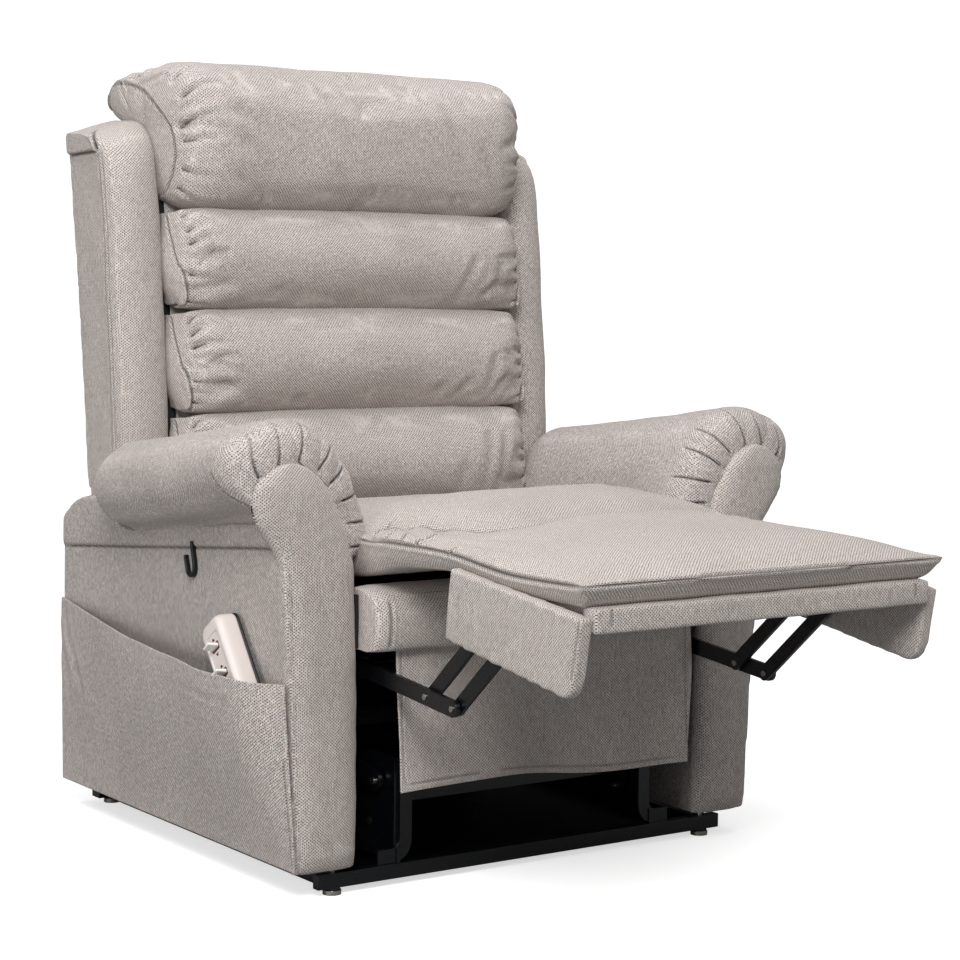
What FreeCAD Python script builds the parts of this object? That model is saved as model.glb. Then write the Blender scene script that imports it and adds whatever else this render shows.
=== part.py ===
import FreeCAD, Part
import math
import os

# Power lift recliner, drawn in millimetres.
# +Z is up, the chair faces -Y, +X is the sitter's left.  The floor is z = 0.
# The model stands as it rests: footrest out, back nearly upright, lift down.

V = FreeCAD.Vector
os.makedirs("parts", exist_ok=True)

# ---- overall -------------------------------------------------------------
BODY_FRONT = -120.0        # front face of the arm front panels
BODY_REAR = 593.0
ARM_INNER = 296.0          # inner face of the inner arm panels
ARM_BOTTOM_FRONT = 37.0
ARM_BOTTOM_REAR = 49.0
OUTER_AT_BOTTOM = 384.0    # outer face of the side panels at z = 37
OUTER_SLOPE = 0.06         # how far the side panels lean out per mm of height, at their front edge
PANEL_THICK = 18.0
PANEL_FRONT = -102.0
PANEL_TOP = 500.0          # top of the side panels at their front edge

# ---- base frame ------------------------------------------------------------
RAIL_LOW = 10.0
RAIL_HIGH = 30.0
RAIL_HALF_LENGTH = 345.0
RAIL_DEPTH = 25.0
FRONT_RAIL_DEPTH = 14.0    # shallower, so the folding footrest levers pass behind it
TRAY_LOW = 16.0            # a sheet steel tray closes the frame from below
FOOT_X = 317.5
FOOT_FRONT_Y = -91.0
FOOT_REAR_Y = 562.0
FOOT_RADIUS = 12.5
STEM_RADIUS = 4.0

# ---- lanes of the flat steel linkages, distance from the middle plane --------
LANE_ARM = (206.0, 212.0)
LANE_UPRIGHT = (215.0, 221.0)
LANE_LINK = (224.0, 230.0)
LANE_BACK = (226.0, 231.0)
LANE_PLATE = (234.0, 239.0)
LANE_FOOT_LINK = (254.5, 260.5)
LANE_LEVER = (262.0, 268.0)
LANE_BRACKET = (262.0, 270.0)
LANE_FLAP = (270.0, 288.0)

# ---- pivots, as (y, z) ---------------------------------------------------
LIFT_PIVOT = (-30.0, 75.0)
LIFT_END = (360.0, 80.0)
LINK_PIVOT = (-54.5, 135.0)
LINK_END = (329.3, 207.8)
LINK_END_CLEARANCE = 3.5      # the second lift link is open at its far end by this much
BACK_PIVOT = (505.0, 440.0)
LEVER_PIVOT = (-30.0, 302.0)
LEVER_KNEE = (-234.0, 281.2)
LEVER_ELBOW = (-295.0, 275.0)
LINK_VECTOR = (-160.0, 142.0)  # both footrest links, from the lever up to the board
PIN_RADIUS = 5.0
RUNNING = 0.05                # radial play of a pin in its hole

# ---- actuators: tail pivot, tip point, distance from the middle plane ------
LIFT_MOTOR = ((498.0, 78.0), (-14.5, 153.8), -70.0)
FOOT_MOTOR = ((240.0, 240.0), (-67.0, 274.0), 70.0)
BACK_MOTOR = ((40.0, 235.0), (535.8, 355.4), 0.0)
ROD_RADIUS = 10.0
LUG_HALF = 3.0
FORK_SLOT_HALF = 5.0
FORK_HALF = 11.0
EAR_HALF = 7.0

# ---- footrest, as (y, z) ------------------------------------------------
FOOTREST_FRONT = -593.0
BOARD_TOP_FRONT = (-589.0, 436.0)
BOARD_TOP_REAR = (-300.0, 467.0)
BOARD_THICK = 21.0
BOARD_NOSE = 29.0          # depth of the board's padded front edge
BOARD_HALF = 251.0

# ---- back -----------------------------------------------------------------
WING_OUTER = 388.0
WING_INNER = 314.0
PILLOW_HALF = 306.0


def box(x0, x1, y0, y1, z0, z1):
    return Part.makeBox(x1 - x0, y1 - y0, z1 - z0, V(x0, y0, z0))


def outline(points):
    """A closed wire through points; an item ("arc", mid, end) bends the next side through mid."""
    edges = []
    here = points[0]
    for item in points[1:] + [points[0]]:
        if len(item) == 3 and item[0] == "arc":
            edges.append(Part.Arc(here, item[1], item[2]).toShape())
            here = item[2]
        else:
            if (item - here).Length > 1e-6:
                edges.append(Part.makeLine(here, item))
            here = item
    return Part.Wire(edges)


def lift_points(points, place):
    out = []
    for p in points:
        if p[0] == "arc":
            out.append(("arc", place(p[1]), place(p[2])))
        else:
            out.append(place(p))
    return out


def solid(wire, along):
    shape = Part.Face(wire).extrude(along)
    if shape.Volume < 0:
        shape.reverse()
    return shape


def across(points, x0, x1):
    """A side-view outline in (y, z), extruded across the chair from x0 to x1."""
    low, high = sorted((x0, x1))
    wire = outline(lift_points(points, lambda p: V(low, p[0], p[1])))
    return solid(wire, V(high - low, 0, 0))


def along(points, y0, y1):
    """A front-view outline in (x, z), extruded from y0 back to y1."""
    wire = outline(lift_points(points, lambda p: V(p[0], y0, p[1])))
    return solid(wire, V(0, y1 - y0, 0))


def upward(points, z0, z1):
    """A plan outline in (x, y), extruded from z0 up to z1."""
    wire = outline(lift_points(points, lambda p: V(p[0], p[1], z0)))
    return solid(wire, V(0, 0, z1 - z0))


def pin(point, x0, x1, radius=PIN_RADIUS):
    low, high = sorted((x0, x1))
    return Part.makeCylinder(radius, high - low, V(low, point[0], point[1]), V(1, 0, 0))


def hole(shape, point, radius):
    bounds = shape.BoundBox
    return shape.cut(pin(point, bounds.XMin - 5, bounds.XMax + 5, radius))


def bar(a, b, half_width, x0, x1):
    """A flat bar with round ends between two pivots."""
    dy, dz = b[0] - a[0], b[1] - a[1]
    length = math.hypot(dy, dz)
    uy, uz = dy / length, dz / length
    ny, nz = -uz * half_width, uy * half_width
    points = [
        (a[0] + ny, a[1] + nz),
        ("arc", (a[0] - uy * half_width, a[1] - uz * half_width), (a[0] - ny, a[1] - nz)),
        (b[0] - ny, b[1] - nz),
        ("arc", (b[0] + uy * half_width, b[1] + uz * half_width), (b[0] + ny, b[1] + nz)),
    ]
    return across(points, x0, x1)


def sides(make):
    """The same piece on both sides of the chair; make(side) gets -1 or +1."""
    return [make(side) for side in (-1, 1)]


def rounded(shape, radius, keep=lambda edge: True):
    edges = [edge for edge in shape.Edges if keep(edge)]
    return shape.makeFillet(radius, edges)


def save(node, *shapes):
    solids = []
    for shape in shapes:
        for item in shape if isinstance(shape, list) else [shape]:
            solids.extend(item.Solids)
    for item in solids:
        if not item.isValid() or item.Volume <= 0:
            raise ValueError("bad solid in " + node)
    whole = solids[0] if len(solids) == 1 else Part.makeCompound(solids)
    whole.exportStep(os.path.join("parts", node + ".step"))


def plus(point, shift):
    return (point[0] + shift[0], point[1] + shift[1])


# ---- base frame -------------------------------------------------------------
def base_frame():
    front_y = -102 + FRONT_RAIL_DEPTH
    front = box(-RAIL_HALF_LENGTH, RAIL_HALF_LENGTH, -102, front_y, RAIL_LOW, RAIL_HIGH)
    rear_y = FOOT_REAR_Y - RAIL_DEPTH / 2
    rear = box(-RAIL_HALF_LENGTH, RAIL_HALF_LENGTH, rear_y, rear_y + RAIL_DEPTH, RAIL_LOW, RAIL_HIGH)
    half = RAIL_DEPTH / 2
    rails = sides(lambda s: box(s * FOOT_X - half, s * FOOT_X + half, front_y, rear_y, RAIL_LOW, RAIL_HIGH))
    feet = [(s * FOOT_X, y) for s in (-1, 1) for y in (FOOT_FRONT_Y, FOOT_REAR_Y)]
    drills = [Part.makeCylinder(STEM_RADIUS + RUNNING, 40, V(x, y, 0)) for x, y in feet]
    x = LIFT_MOTOR[2]
    lug_points = [(549.5, 30), (574, 30), (574, 44), (508, 94), ("arc", (490, 92), (488, 72))]
    lugs = [across(lug_points, x + s * 8, x + s * 13) for s in (-1, 1)]
    inner = FOOT_X - half
    tray = box(-inner - 1, inner + 1, front_y - 1, rear_y + 1, TRAY_LOW, TRAY_LOW + 2)
    frame = front.fuse([rear, tray] + rails + lugs).removeSplitter()
    save("base_frame", hole(frame.cut(Part.makeCompound(drills)), LIFT_MOTOR[0], PIN_RADIUS))
    nuts = []
    for x, y in feet:
        nut = Part.makeCylinder(11, 3.4, V(x, y, RAIL_LOW - 3.4))
        nuts.append(nut.cut(Part.makeCylinder(STEM_RADIUS + RUNNING, 20, V(x, y, 0))))
    save("foot_nuts", nuts)
    names = ["right_front", "right_rear", "left_front", "left_rear"]
    for name, (x, y) in zip(names, feet):
        disc = Part.makeCylinder(FOOT_RADIUS, 6, V(x, y, 0))
        stem = Part.makeCylinder(STEM_RADIUS, 29, V(x, y, 5))
        save("levelling_foot_" + name, disc.fuse(stem).removeSplitter())


def uprights():
    low, high = LANE_UPRIGHT

    def plate(s):
        shape = across(
            [(-100, 30), (0, 30), (0, 150), ("arc", (-10, 168), (-30, 172)), (-92, 172), (-92, 52), (-100, 52)],
            s * low, s * high)
        shape = hole(shape, LIFT_PIVOT, PIN_RADIUS)
        return hole(shape, LINK_PIVOT, PIN_RADIUS)

    def strip(s):
        bend = [
            (s * 196, 172), (s * low, 172), (s * low, 64),
            ("arc", (s * 219.1, 54.1), (s * 229, 50)),
            (s * 250, 50), (s * 250, 30), (s * 226, 30),
            ("arc", (s * 204.8, 38.8), (s * 196, 60)),
        ]
        return along(bend, -98, -92).cut(plate(s))

    save("base_uprights", sides(plate))
    save("base_front_strips", sides(strip))

    def pins(s):
        arm_pin = pin(LIFT_PIVOT, s * 202, s * high)
        link_pin = pin(LINK_PIVOT, s * low, s * 233)
        return Part.makeCompound([arm_pin, link_pin])

    x = LIFT_MOTOR[2]
    save("base_pins", sides(pins), pin(LIFT_MOTOR[0], x - 15, x + 15))


# ---- lift arms and links -----------------------------------------------------------
TUBE_HALF = 12.0
LIFT_TUBE = plus(LIFT_PIVOT, (-5.0, 36.0))


def square_tube(centre, half, reach, wall=2.5):
    y, z = centre
    outer = box(-reach, reach, y - half, y + half, z - half, z + half)
    inner = box(-reach - 1, reach + 1, y - half + wall, y + half - wall, z - half + wall, z + half - wall)
    return outer.cut(inner)


def lug(tip, base_a, base_b, x, half=LUG_HALF, radius=10.0):
    """A plate from the line base_a - base_b to a round end at tip, with a pin hole."""
    disc = pin(tip, x - half, x + half, radius)
    middle = ((base_a[0] + base_b[0]) / 2, (base_a[1] + base_b[1]) / 2)
    dy, dz = tip[0] - middle[0], tip[1] - middle[1]
    length = math.hypot(dy, dz)
    ny, nz = -dz / length * radius, dy / length * radius
    left, right = (tip[0] + ny, tip[1] + nz), (tip[0] - ny, tip[1] - nz)
    if (base_a[0] - middle[0]) * ny + (base_a[1] - middle[1]) * nz < 0:
        base_a, base_b = base_b, base_a
    web = across([base_a, left, right, base_b], x - half, x + half)
    return hole(disc.fuse(web).removeSplitter(), tip, PIN_RADIUS)


def lift_parts():
    low, high = LANE_ARM

    def arm(s):
        main = bar(LIFT_PIVOT, LIFT_END, 17, s * low, s * high)
        ear = bar(LIFT_PIVOT, LIFT_TUBE, 17, s * low, s * high)
        shape = main.fuse(ear).removeSplitter()
        shape = hole(shape, LIFT_PIVOT, PIN_RADIUS + RUNNING)
        return hole(shape, LIFT_END, PIN_RADIUS + RUNNING)

    def link(s):
        shape = bar(LINK_PIVOT, LINK_END, 14, s * LANE_LINK[0], s * LANE_LINK[1])
        shape = hole(shape, LINK_PIVOT, PIN_RADIUS + RUNNING)
        return hole(shape, LINK_END, PIN_RADIUS + LINK_END_CLEARANCE)

    save("lift_arms", sides(arm))
    save("lift_links", sides(link))
    y, z = LIFT_TUBE
    tube_lug = lug(LIFT_MOTOR[1], (y - 10, z + TUBE_HALF), (y + 10, z + TUBE_HALF), LIFT_MOTOR[2])
    save("lift_cross_tube", square_tube(LIFT_TUBE, TUBE_HALF, low).fuse(tube_lug))


# ---- carriage: the steel plates and tubes that carry the seat -------------------
SEAT_RAIL_LOW = 330.0
SEAT_RAIL_HIGH = 400.0
FRONT_TUBE = (10.0, 215.0)
REAR_TUBE = (268.0, 226.0)
SMALL_TUBE_HALF = 12.5


def carriage_steel():
    low, high = LANE_PLATE

    def plate(s):
        web = across([
            (-60, 324), (-60, 292), (-30, 282), (40, 190), (90, 190), (240, 190), (300, 160),
            (338, 66), ("arc", (360, 58), (382, 68)), (400, 190), (430, 250), (520, 418),
            ("arc", (519, 452), (490, 450)), (450, 380), (424, 324),
        ], s * low, s * high)
        window = across([(60, 212), (225, 212), (300, 300), (20, 300), (0, 290)], s * (low - 1), s * (high + 1))
        flange = box(*sorted((s * low, s * 292)), -60, 424, 324, 330)
        shape = web.cut(window).fuse(flange).removeSplitter()
        for point in (LIFT_END, LINK_END, BACK_PIVOT, LEVER_PIVOT):
            shape = hole_in_web(shape, point, s)
        return shape

    def hole_in_web(shape, point, s):
        return shape.cut(pin(point, s * (low - 1), s * (high + 1)))

    save("carriage_side_plates", sides(plate))
    def pins(s):
        return Part.makeCompound([
            pin(LIFT_END, s * 202, s * high),
            pin(LINK_END, s * 221, s * high),
            pin(BACK_PIVOT, s * 223, s * high),
            pin(LEVER_PIVOT, s * low, s * 271),
        ])

    back_tail, foot_tail = BACK_MOTOR[0], FOOT_MOTOR[0]
    save("carriage_pins", sides(pins),
         pin(back_tail, BACK_MOTOR[2] - 15, BACK_MOTOR[2] + 15),
         pin(foot_tail, FOOT_MOTOR[2] - 15, FOOT_MOTOR[2] + 15))

    def tube_with_lugs(tube, tail, base_a, base_b, x):
        lugs = [lug(tail, base_a, base_b, x + s * 10.5, 2.5) for s in (-1, 1)]
        return square_tube(tube, SMALL_TUBE_HALF, low).fuse(lugs)

    y, z = FRONT_TUBE
    front = tube_with_lugs(FRONT_TUBE, back_tail, (y + 12.5, z - 9), (y + 12.5, z + 12), BACK_MOTOR[2])
    y, z = REAR_TUBE
    rear = tube_with_lugs(REAR_TUBE, foot_tail, (y - 12.5, z - 8), (y - 12.5, z + 12), FOOT_MOTOR[2])
    save("carriage_tubes", front, rear)


def seat_frame():
    front = rounded(box(-290, 290, -155, -112, SEAT_RAIL_LOW, SEAT_RAIL_HIGH), 8,
                    lambda e: e.BoundBox.YMax < -150 or e.BoundBox.YMin < -150 and e.BoundBox.ZLength > 60)
    save("seat_front_rail", front)
    save("seat_side_rails", sides(lambda s: box(*sorted((s * 270, s * 296)), -111, 430, SEAT_RAIL_LOW, SEAT_RAIL_HIGH)))
    save("seat_rear_rail", box(-269, 269, 405, 430, 354, SEAT_RAIL_HIGH))
    straps = [box(x - 27, x + 27, -148, 428, 400.2, 402.2) for x in (-200, -100, 0, 100, 200)]
    save("seat_webbing", straps)
    cushion = across([(-148, 404), (-180, 446), (-182, 494), ("arc", (-172, 509), (-150, 512)),
                      (-80, 507), (300, 468), (342, 460), (342, 404)], -289, 289)
    save("seat_cushion", cushion)


def curtain():
    save("front_curtain", along([(-248, 324), (248, 324), (246, 128), (-246, 128)], -134, -131))


# ---- arms ------------------------------------------------------------------
def panel_slab(s):
    """A side panel's thickness: it leans out at the front and stands upright at the rear."""
    wires = []
    for y, slope in ((PANEL_FRONT, OUTER_SLOPE), (BODY_REAR, 0.0)):
        low = OUTER_AT_BOTTOM
        high = low + slope * (PANEL_TOP - ARM_BOTTOM_FRONT)
        corners = [(low - PANEL_THICK, ARM_BOTTOM_FRONT), (low, ARM_BOTTOM_FRONT),
                   (high, PANEL_TOP), (high - PANEL_THICK, PANEL_TOP)]
        wires.append(outline([V(s * x, y, z) for x, z in corners]))
    return Part.makeLoft(wires, True, True)


def arms():
    side_view = [
        (PANEL_FRONT, ARM_BOTTOM_FRONT), (BODY_REAR, ARM_BOTTOM_REAR), (BODY_REAR, 447),
        ("arc", (545, 474), (487, 486)), (396, 489), (396, 452), (343, 448), (87, 480), (PANEL_FRONT, PANEL_TOP),
    ]

    def outer(s):
        return across(side_view, s * 340, s * 440).common(panel_slab(s))

    def inner(s):
        view = [(-102, ARM_BOTTOM_FRONT), (BODY_REAR - 18, ARM_BOTTOM_REAR), (BODY_REAR - 18, 447),
                (396, 470), (343, 445), (87, 476), (-102, 494)]
        return across(view, s * ARM_INNER, s * (ARM_INNER + 12))

    def rear(s):
        return along([(s * 297, ARM_BOTTOM_REAR + 2), (s * 365, ARM_BOTTOM_REAR + 2),
                      (s * 365, 440), (s * 297, 440)], BODY_REAR - 17, BODY_REAR - 1)

    def front(s):
        return along([
            (s * 297, ARM_BOTTOM_FRONT), (s * 305, 450), ("arc", (s * 315, 500), (s * 350, 561)),
            ("arc", (s * 388, 577), (s * 424, 572)), ("arc", (s * 444, 556), (s * 449, 520)),
            (s * 409, 454), (s * 384, ARM_BOTTOM_FRONT),
        ], BODY_FRONT, BODY_FRONT + 17)

    def board(s):
        return across([(-100, 478), (343, 430), (343, 442), (-100, 490)], s * 310, s * 362)

    def pad(s):
        wires = []
        for y, cx, cz, rx, rz in ((-100, 371, 566, 110, 62), (87, 386, 545, 84, 56),
                                  (343, 383, 501, 66, 48), (382, 382, 494, 44, 28)):
            curve = Part.Ellipse(V(s * cx, y, cz), rx, rz)
            edge = curve.toShape()
            edge.rotate(V(s * cx, y, cz), V(1, 0, 0), 90)
            wires.append(Part.Wire([edge]))
        return Part.makeLoft(wires, True, True)

    save("arm_outer_panels", sides(outer))
    save("arm_inner_panels", sides(inner))
    save("arm_rear_panels", sides(rear))
    save("arm_front_panels", sides(front))
    save("arm_top_boards", sides(board))
    save("arm_pads", sides(pad))
    save("rear_panel", box(-296, 296, BODY_REAR - 14, BODY_REAR, 60, 430))


# ---- side pocket, hook and handset ------------------------------------------
POCKET_SHEET = 2.0
HANDSET_TILT = math.radians(36)
HANDSET_TOP = (35.0, 357.0)
HANDSET_SIZE = (56.0, 120.0, 33.0)    # width, height, thickness
HANDSET_FACE = -438.0                  # x of the outer face
HANDSET_LEVERS = (-39.0, -78.0)        # down from the top end


def pocket():
    path = [(588, 387), (300, 394), (90, 443), (-66, 443), (-100, 402)]
    outer = [(-x, y) for y, x in path]
    inner = [(-(x - POCKET_SHEET), y) for y, x in reversed(path)]
    sheet = upward(outer + inner, 60, 268)
    save("side_pocket", sheet)


def hook():
    stem = across([(142, 446), (154, 446), (154, 412), ("arc", (163, 401), (172, 412)), (172, 424),
                   (180, 424), (180, 410), ("arc", (163, 392), (146, 408)), (142, 418)], -409, -401.5)
    save("handset_hook", stem)


def handset_place(across_width, up, x):
    """A point of the handset from its width, height and depth positions."""
    c, t = math.cos(HANDSET_TILT), math.sin(HANDSET_TILT)
    y = HANDSET_TOP[0] - across_width * c + up * t
    z = HANDSET_TOP[1] + across_width * t + up * c
    return V(x, y, z)


def tilted_box(w0, w1, h0, h1, x0, x1):
    corners = [handset_place(w0, h0, x0), handset_place(w1, h0, x0),
               handset_place(w1, h1, x0), handset_place(w0, h1, x0)]
    return solid(outline(corners), V(x1 - x0, 0, 0))


def handset():
    half = HANDSET_SIZE[0] / 2
    back = HANDSET_FACE + HANDSET_SIZE[2]
    body = tilted_box(-half, half, -HANDSET_SIZE[1], 0, HANDSET_FACE, back)
    body = rounded(body, 9, lambda e: e.BoundBox.XLength > 20)
    recesses = []
    levers = []
    hinge_x = HANDSET_FACE + 4
    for level in HANDSET_LEVERS:
        recesses.append(tilted_box(-12, 12, level - 6, level + 6, HANDSET_FACE - 1, HANDSET_FACE + 9))
        blade = tilted_box(-9, 9, level - 2.5, level + 2.5, HANDSET_FACE - 13, hinge_x)
        ends = [handset_place(w, level, hinge_x) for w in (-9, 9)]
        axle = Part.makeCylinder(3.2, 18, ends[0], ends[1] - ends[0])
        levers.append(blade.fuse(axle).removeSplitter())
    body = body.cut(Part.makeCompound(recesses))
    save("handset_body", body)
    for name, lever in zip(("upper", "lower"), levers):
        save("handset_lever_" + name, lever)


# ---- footrest ------------------------------------------------------------------
def footrest():
    (fy, fz), (ry, rz) = BOARD_TOP_FRONT, BOARD_TOP_REAR
    main = across([(fy, fz), (fy, fz - BOARD_THICK), (ry, rz - BOARD_THICK), (ry, rz)], -BOARD_HALF, BOARD_HALF)
    slope = (rz - fz) / (ry - fy)
    end = across([(fy, fz), (fy, fz - BOARD_NOSE), (fy + 25, fz - BOARD_NOSE + 25 * slope),
                  (fy + 25, fz + 25 * slope)], -269.9, 269.9)
    save("footrest_board", main.fuse(end).removeSplitter())
    flap = [(-588, 426), (-308, 456), (-308, 366), (-560, 331), ("arc", (-580, 333), (-588, 350))]
    save("footrest_flaps", sides(lambda s: across(flap, s * LANE_FLAP[0], s * LANE_FLAP[1])))
    a = plus(LEVER_KNEE, LINK_VECTOR)
    b = plus(LEVER_ELBOW, LINK_VECTOR)

    def bracket(s):
        shape = bar(plus(a, (14, 1.4)), plus(b, (-14, -1.4)), 11, s * LANE_BRACKET[0], s * (LANE_BRACKET[1] - 0.1))
        shape = hole(shape, a, PIN_RADIUS - 1)
        return hole(shape, b, PIN_RADIUS - 1)

    save("footrest_brackets", sides(bracket))
    save("footrest_pins", [pin(p, s * 253, s * 266, PIN_RADIUS - 1) for s in (-1, 1) for p in (a, b)])
    pad = across([(FOOTREST_FRONT, 438), (FOOTREST_FRONT, 456), ("arc", (-589, 464), (-580, 468)),
                  (-300, 500), (-208, 511), ("arc", (-198, 508), (-194, 500)), (-194, 480), (-300, 469)],
                 -277, 277)
    save("calf_pad", pad)


def footrest_linkage():
    low, high = LANE_LEVER
    tube = plus(LEVER_PIVOT, (-75, -8))

    def lever(s):
        shape = bar(LEVER_PIVOT, LEVER_ELBOW, 11, s * low, s * high)
        shape = hole(shape, LEVER_PIVOT, PIN_RADIUS + RUNNING)
        shape = hole(shape, LEVER_KNEE, PIN_RADIUS - 1)
        return hole(shape, LEVER_ELBOW, PIN_RADIUS - 1)

    save("footrest_levers", sides(lever))
    save("footrest_lever_pins",
         [pin(p, s * 253, s * 270, PIN_RADIUS - 1) for s in (-1, 1) for p in (LEVER_KNEE, LEVER_ELBOW)])
    y, z = tube
    tube_lug = lug(FOOT_MOTOR[1], (y + 10, z - 9), (y + 10, z + 9), FOOT_MOTOR[2])
    save("footrest_cross_tube", square_tube(tube, 10, low).fuse(tube_lug))

    def link(start):
        def make(s):
            shape = bar(start, plus(start, LINK_VECTOR), 10, s * LANE_FOOT_LINK[0], s * LANE_FOOT_LINK[1])
            shape = hole(shape, start, PIN_RADIUS - 1 + RUNNING)
            return hole(shape, plus(start, LINK_VECTOR), PIN_RADIUS - 1 + RUNNING)
        return make

    save("footrest_links_rear", sides(link(LEVER_KNEE)))
    save("footrest_links_front", sides(link(LEVER_ELBOW)))


# ---- actuators -----------------------------------------------------------------
def actuator(name, motor, gearbox, guide):
    tail, tip, x = motor
    dy, dz = tip[0] - tail[0], tip[1] - tail[1]
    length = math.hypot(dy, dz)
    uy, uz = dy / length, dz / length
    ny, nz = (-uz, uy) if uy > 0 else (uz, -uy)
    turn = 1 if uy > 0 else -1
    place = FreeCAD.Matrix(turn, 0, 0, x, 0, uy, ny, tail[0], 0, uz, nz, tail[1], 0, 0, 0, 1)
    ear = Part.makeCylinder(13, 2 * EAR_HALF, V(-EAR_HALF, 0, 0), V(1, 0, 0))
    neck = box(-EAR_HALF, EAR_HALF, 0, 22, -13, 13)
    gear = rounded(box(-24, 24, 18, 18 + gearbox, -20, 68), 6, lambda e: e.BoundBox.YLength > gearbox - 1)
    can = Part.makeCylinder(20, 95, V(0, 18 + gearbox - 2, 45), V(0, 1, 0))
    profile = box(-17, 17, 18 + gearbox - 1, 18 + gearbox + guide, -15, 15)
    housing = ear.fuse([neck, gear, can, profile]).removeSplitter()
    bore = Part.makeCylinder(ROD_RADIUS + RUNNING, guide + gearbox, V(0, 30, 0), V(0, 1, 0))
    eye = Part.makeCylinder(PIN_RADIUS + RUNNING, 60, V(-30, 0, 0), V(1, 0, 0))
    housing = housing.cut(bore.fuse(eye))
    housing.transformShape(place)
    save(name + "_housing", housing)
    start = 18 + gearbox + 65
    shaft = Part.makeCylinder(ROD_RADIUS, length - 42 - start, V(0, start, 0), V(0, 1, 0))
    head = box(-FORK_HALF, FORK_HALF, length - 46, length, -11, 11)
    cap = Part.makeCylinder(11, 2 * FORK_HALF, V(-FORK_HALF, length, 0), V(1, 0, 0))
    slot = box(-FORK_SLOT_HALF, FORK_SLOT_HALF, length - 36, length + 20, -20, 20)
    rod = shaft.fuse([head, cap]).removeSplitter().cut(slot)
    rod.transformShape(place)
    save(name + "_rod", rod)


# ---- back --------------------------------------------------------------------
def back_line(z, y_low, z_low, slope):
    return y_low + slope * (z - z_low)


def front_face(z):
    return back_line(z, 440.0, 500.0, 0.107)


def shell_rear(z):
    return back_line(z, 502.0, 493.0, 0.1255)


def back_parts():
    depth = 28.0

    def piece(z0, z1, x0, x1):
        return across([(front_face(z0), z0), (front_face(z1), z1), (front_face(z1) + depth, z1),
                       (front_face(z0) + depth, z0)], x0, x1)

    frame = piece(505, 1050, 270, 304).fuse([piece(505, 1050, -304, -270), piece(505, 560, -304, 304),
                                             piece(995, 1050, -304, 304)]).removeSplitter()
    save("back_frame", frame)
    straps = [across([(front_face(z) - 2.2, z), (front_face(z + 50) - 2.2, z + 50),
                      (front_face(z + 50) - 0.2, z + 50), (front_face(z) - 0.2, z)], -300, 300)
              for z in (590, 690, 790, 890)]
    save("back_webbing", straps)
    shell = across([(shell_rear(493), 493), (shell_rear(1045), 1045), (shell_rear(1045) - 14, 1045),
                    (shell_rear(493) - 14, 493)], -WING_OUTER, WING_OUTER)
    save("back_shell", shell)
    rear_edge = [(shell_rear(1044) - 14.2, 1044), (shell_rear(495) - 14.2, 495)]
    panel = rear_edge + [(400, 495), (399, 574), (434, 777), (466, 967), (489, 1033), (503, 1044)]
    save("wing_panels", sides(lambda s: across(panel, s * (WING_OUTER - 16), s * WING_OUTER)))
    roll = [(399.5, 498), (398.5, 574), (433.5, 777), (465.5, 967), (488.5, 1033),
            (482, 1032), (449, 1016), (424, 968), (401, 777), (385, 573), (384, 505)]
    save("wing_rolls", sides(lambda s: across(roll, s * (WING_INNER + 4), s * WING_OUTER)))

    def pillow(z0, z1, front, half):
        low, high = front_face(z0) - 3, front_face(z1) - 3
        shape = across([(low, z0), (high, z1), (front + 14, z1), (front, (z0 + z1) / 2), (front + 8, z0)], -half, half)
        return rounded(shape, 8, lambda e: e.BoundBox.YMin < front + 20 and e.BoundBox.XLength > 2 * half - 1)

    save("pillow_lumbar", pillow(472, 607, 312, 292))
    save("pillow_lower", pillow(611, 760, 326, 303))
    save("pillow_upper", pillow(764, 909, 340, 303))
    head = across([(366, 915), ("arc", (353, 1000), (358, 1085)), ("arc", (380, 1116), (430, 1130)),
                   ("arc", (520, 1130), (574, 1112)), ("arc", (590, 1092), (586, 1058)),
                   (500, 1056), (494, 1045), (480, 915)], -PILLOW_HALF, PILLOW_HALF)
    save("pillow_head", head)
    low, high = LANE_BACK
    tube = plus(BACK_PIVOT, (8, -42))

    def bracket(s):
        arm = across([(494, 455), (473, 498), (485, 640), (495, 640), (487, 505), (486, 488), (518, 452),
                      (524, 388), (500, 388), (492, 440)], s * low, s * high)
        boss = pin(BACK_PIVOT, s * low, s * high, 16)
        return hole(arm.fuse(boss).removeSplitter(), BACK_PIVOT, PIN_RADIUS + RUNNING)

    save("back_brackets", sides(bracket))
    y, z = tube
    tube_lug = lug(BACK_MOTOR[1], (y - 6, z - 10), (y + 9, z - 10), BACK_MOTOR[2])
    save("back_cross_tube", square_tube(tube, 10, low).fuse(tube_lug))


base_frame()
uprights()
lift_parts()
carriage_steel()
seat_frame()
curtain()
arms()
pocket()
hook()
handset()
footrest()
footrest_linkage()
actuator("lift_motor", LIFT_MOTOR, 60.0, 340.0)
actuator("footrest_motor", FOOT_MOTOR, 55.0, 118.0)
actuator("back_motor", BACK_MOTOR, 55.0, 320.0)
back_parts()
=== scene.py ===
import math

import bmesh
import bpy
import numpy as np
from mathutils import Matrix, Vector
from mathutils.bvhtree import BVHTree


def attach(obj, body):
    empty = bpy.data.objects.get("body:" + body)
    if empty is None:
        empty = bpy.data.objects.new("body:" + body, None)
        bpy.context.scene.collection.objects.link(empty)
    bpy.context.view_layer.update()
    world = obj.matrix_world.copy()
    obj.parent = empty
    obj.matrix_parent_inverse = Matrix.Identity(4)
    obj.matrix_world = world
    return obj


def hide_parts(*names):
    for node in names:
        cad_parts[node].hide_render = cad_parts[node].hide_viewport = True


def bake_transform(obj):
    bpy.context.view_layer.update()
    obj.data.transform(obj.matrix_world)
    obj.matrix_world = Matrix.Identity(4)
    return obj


# Power lift recliner: the looks.  Lengths below are in millimetres unless a name says otherwise.
# +Z is up, the chair faces -Y, and +X is the sitter's left.

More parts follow.
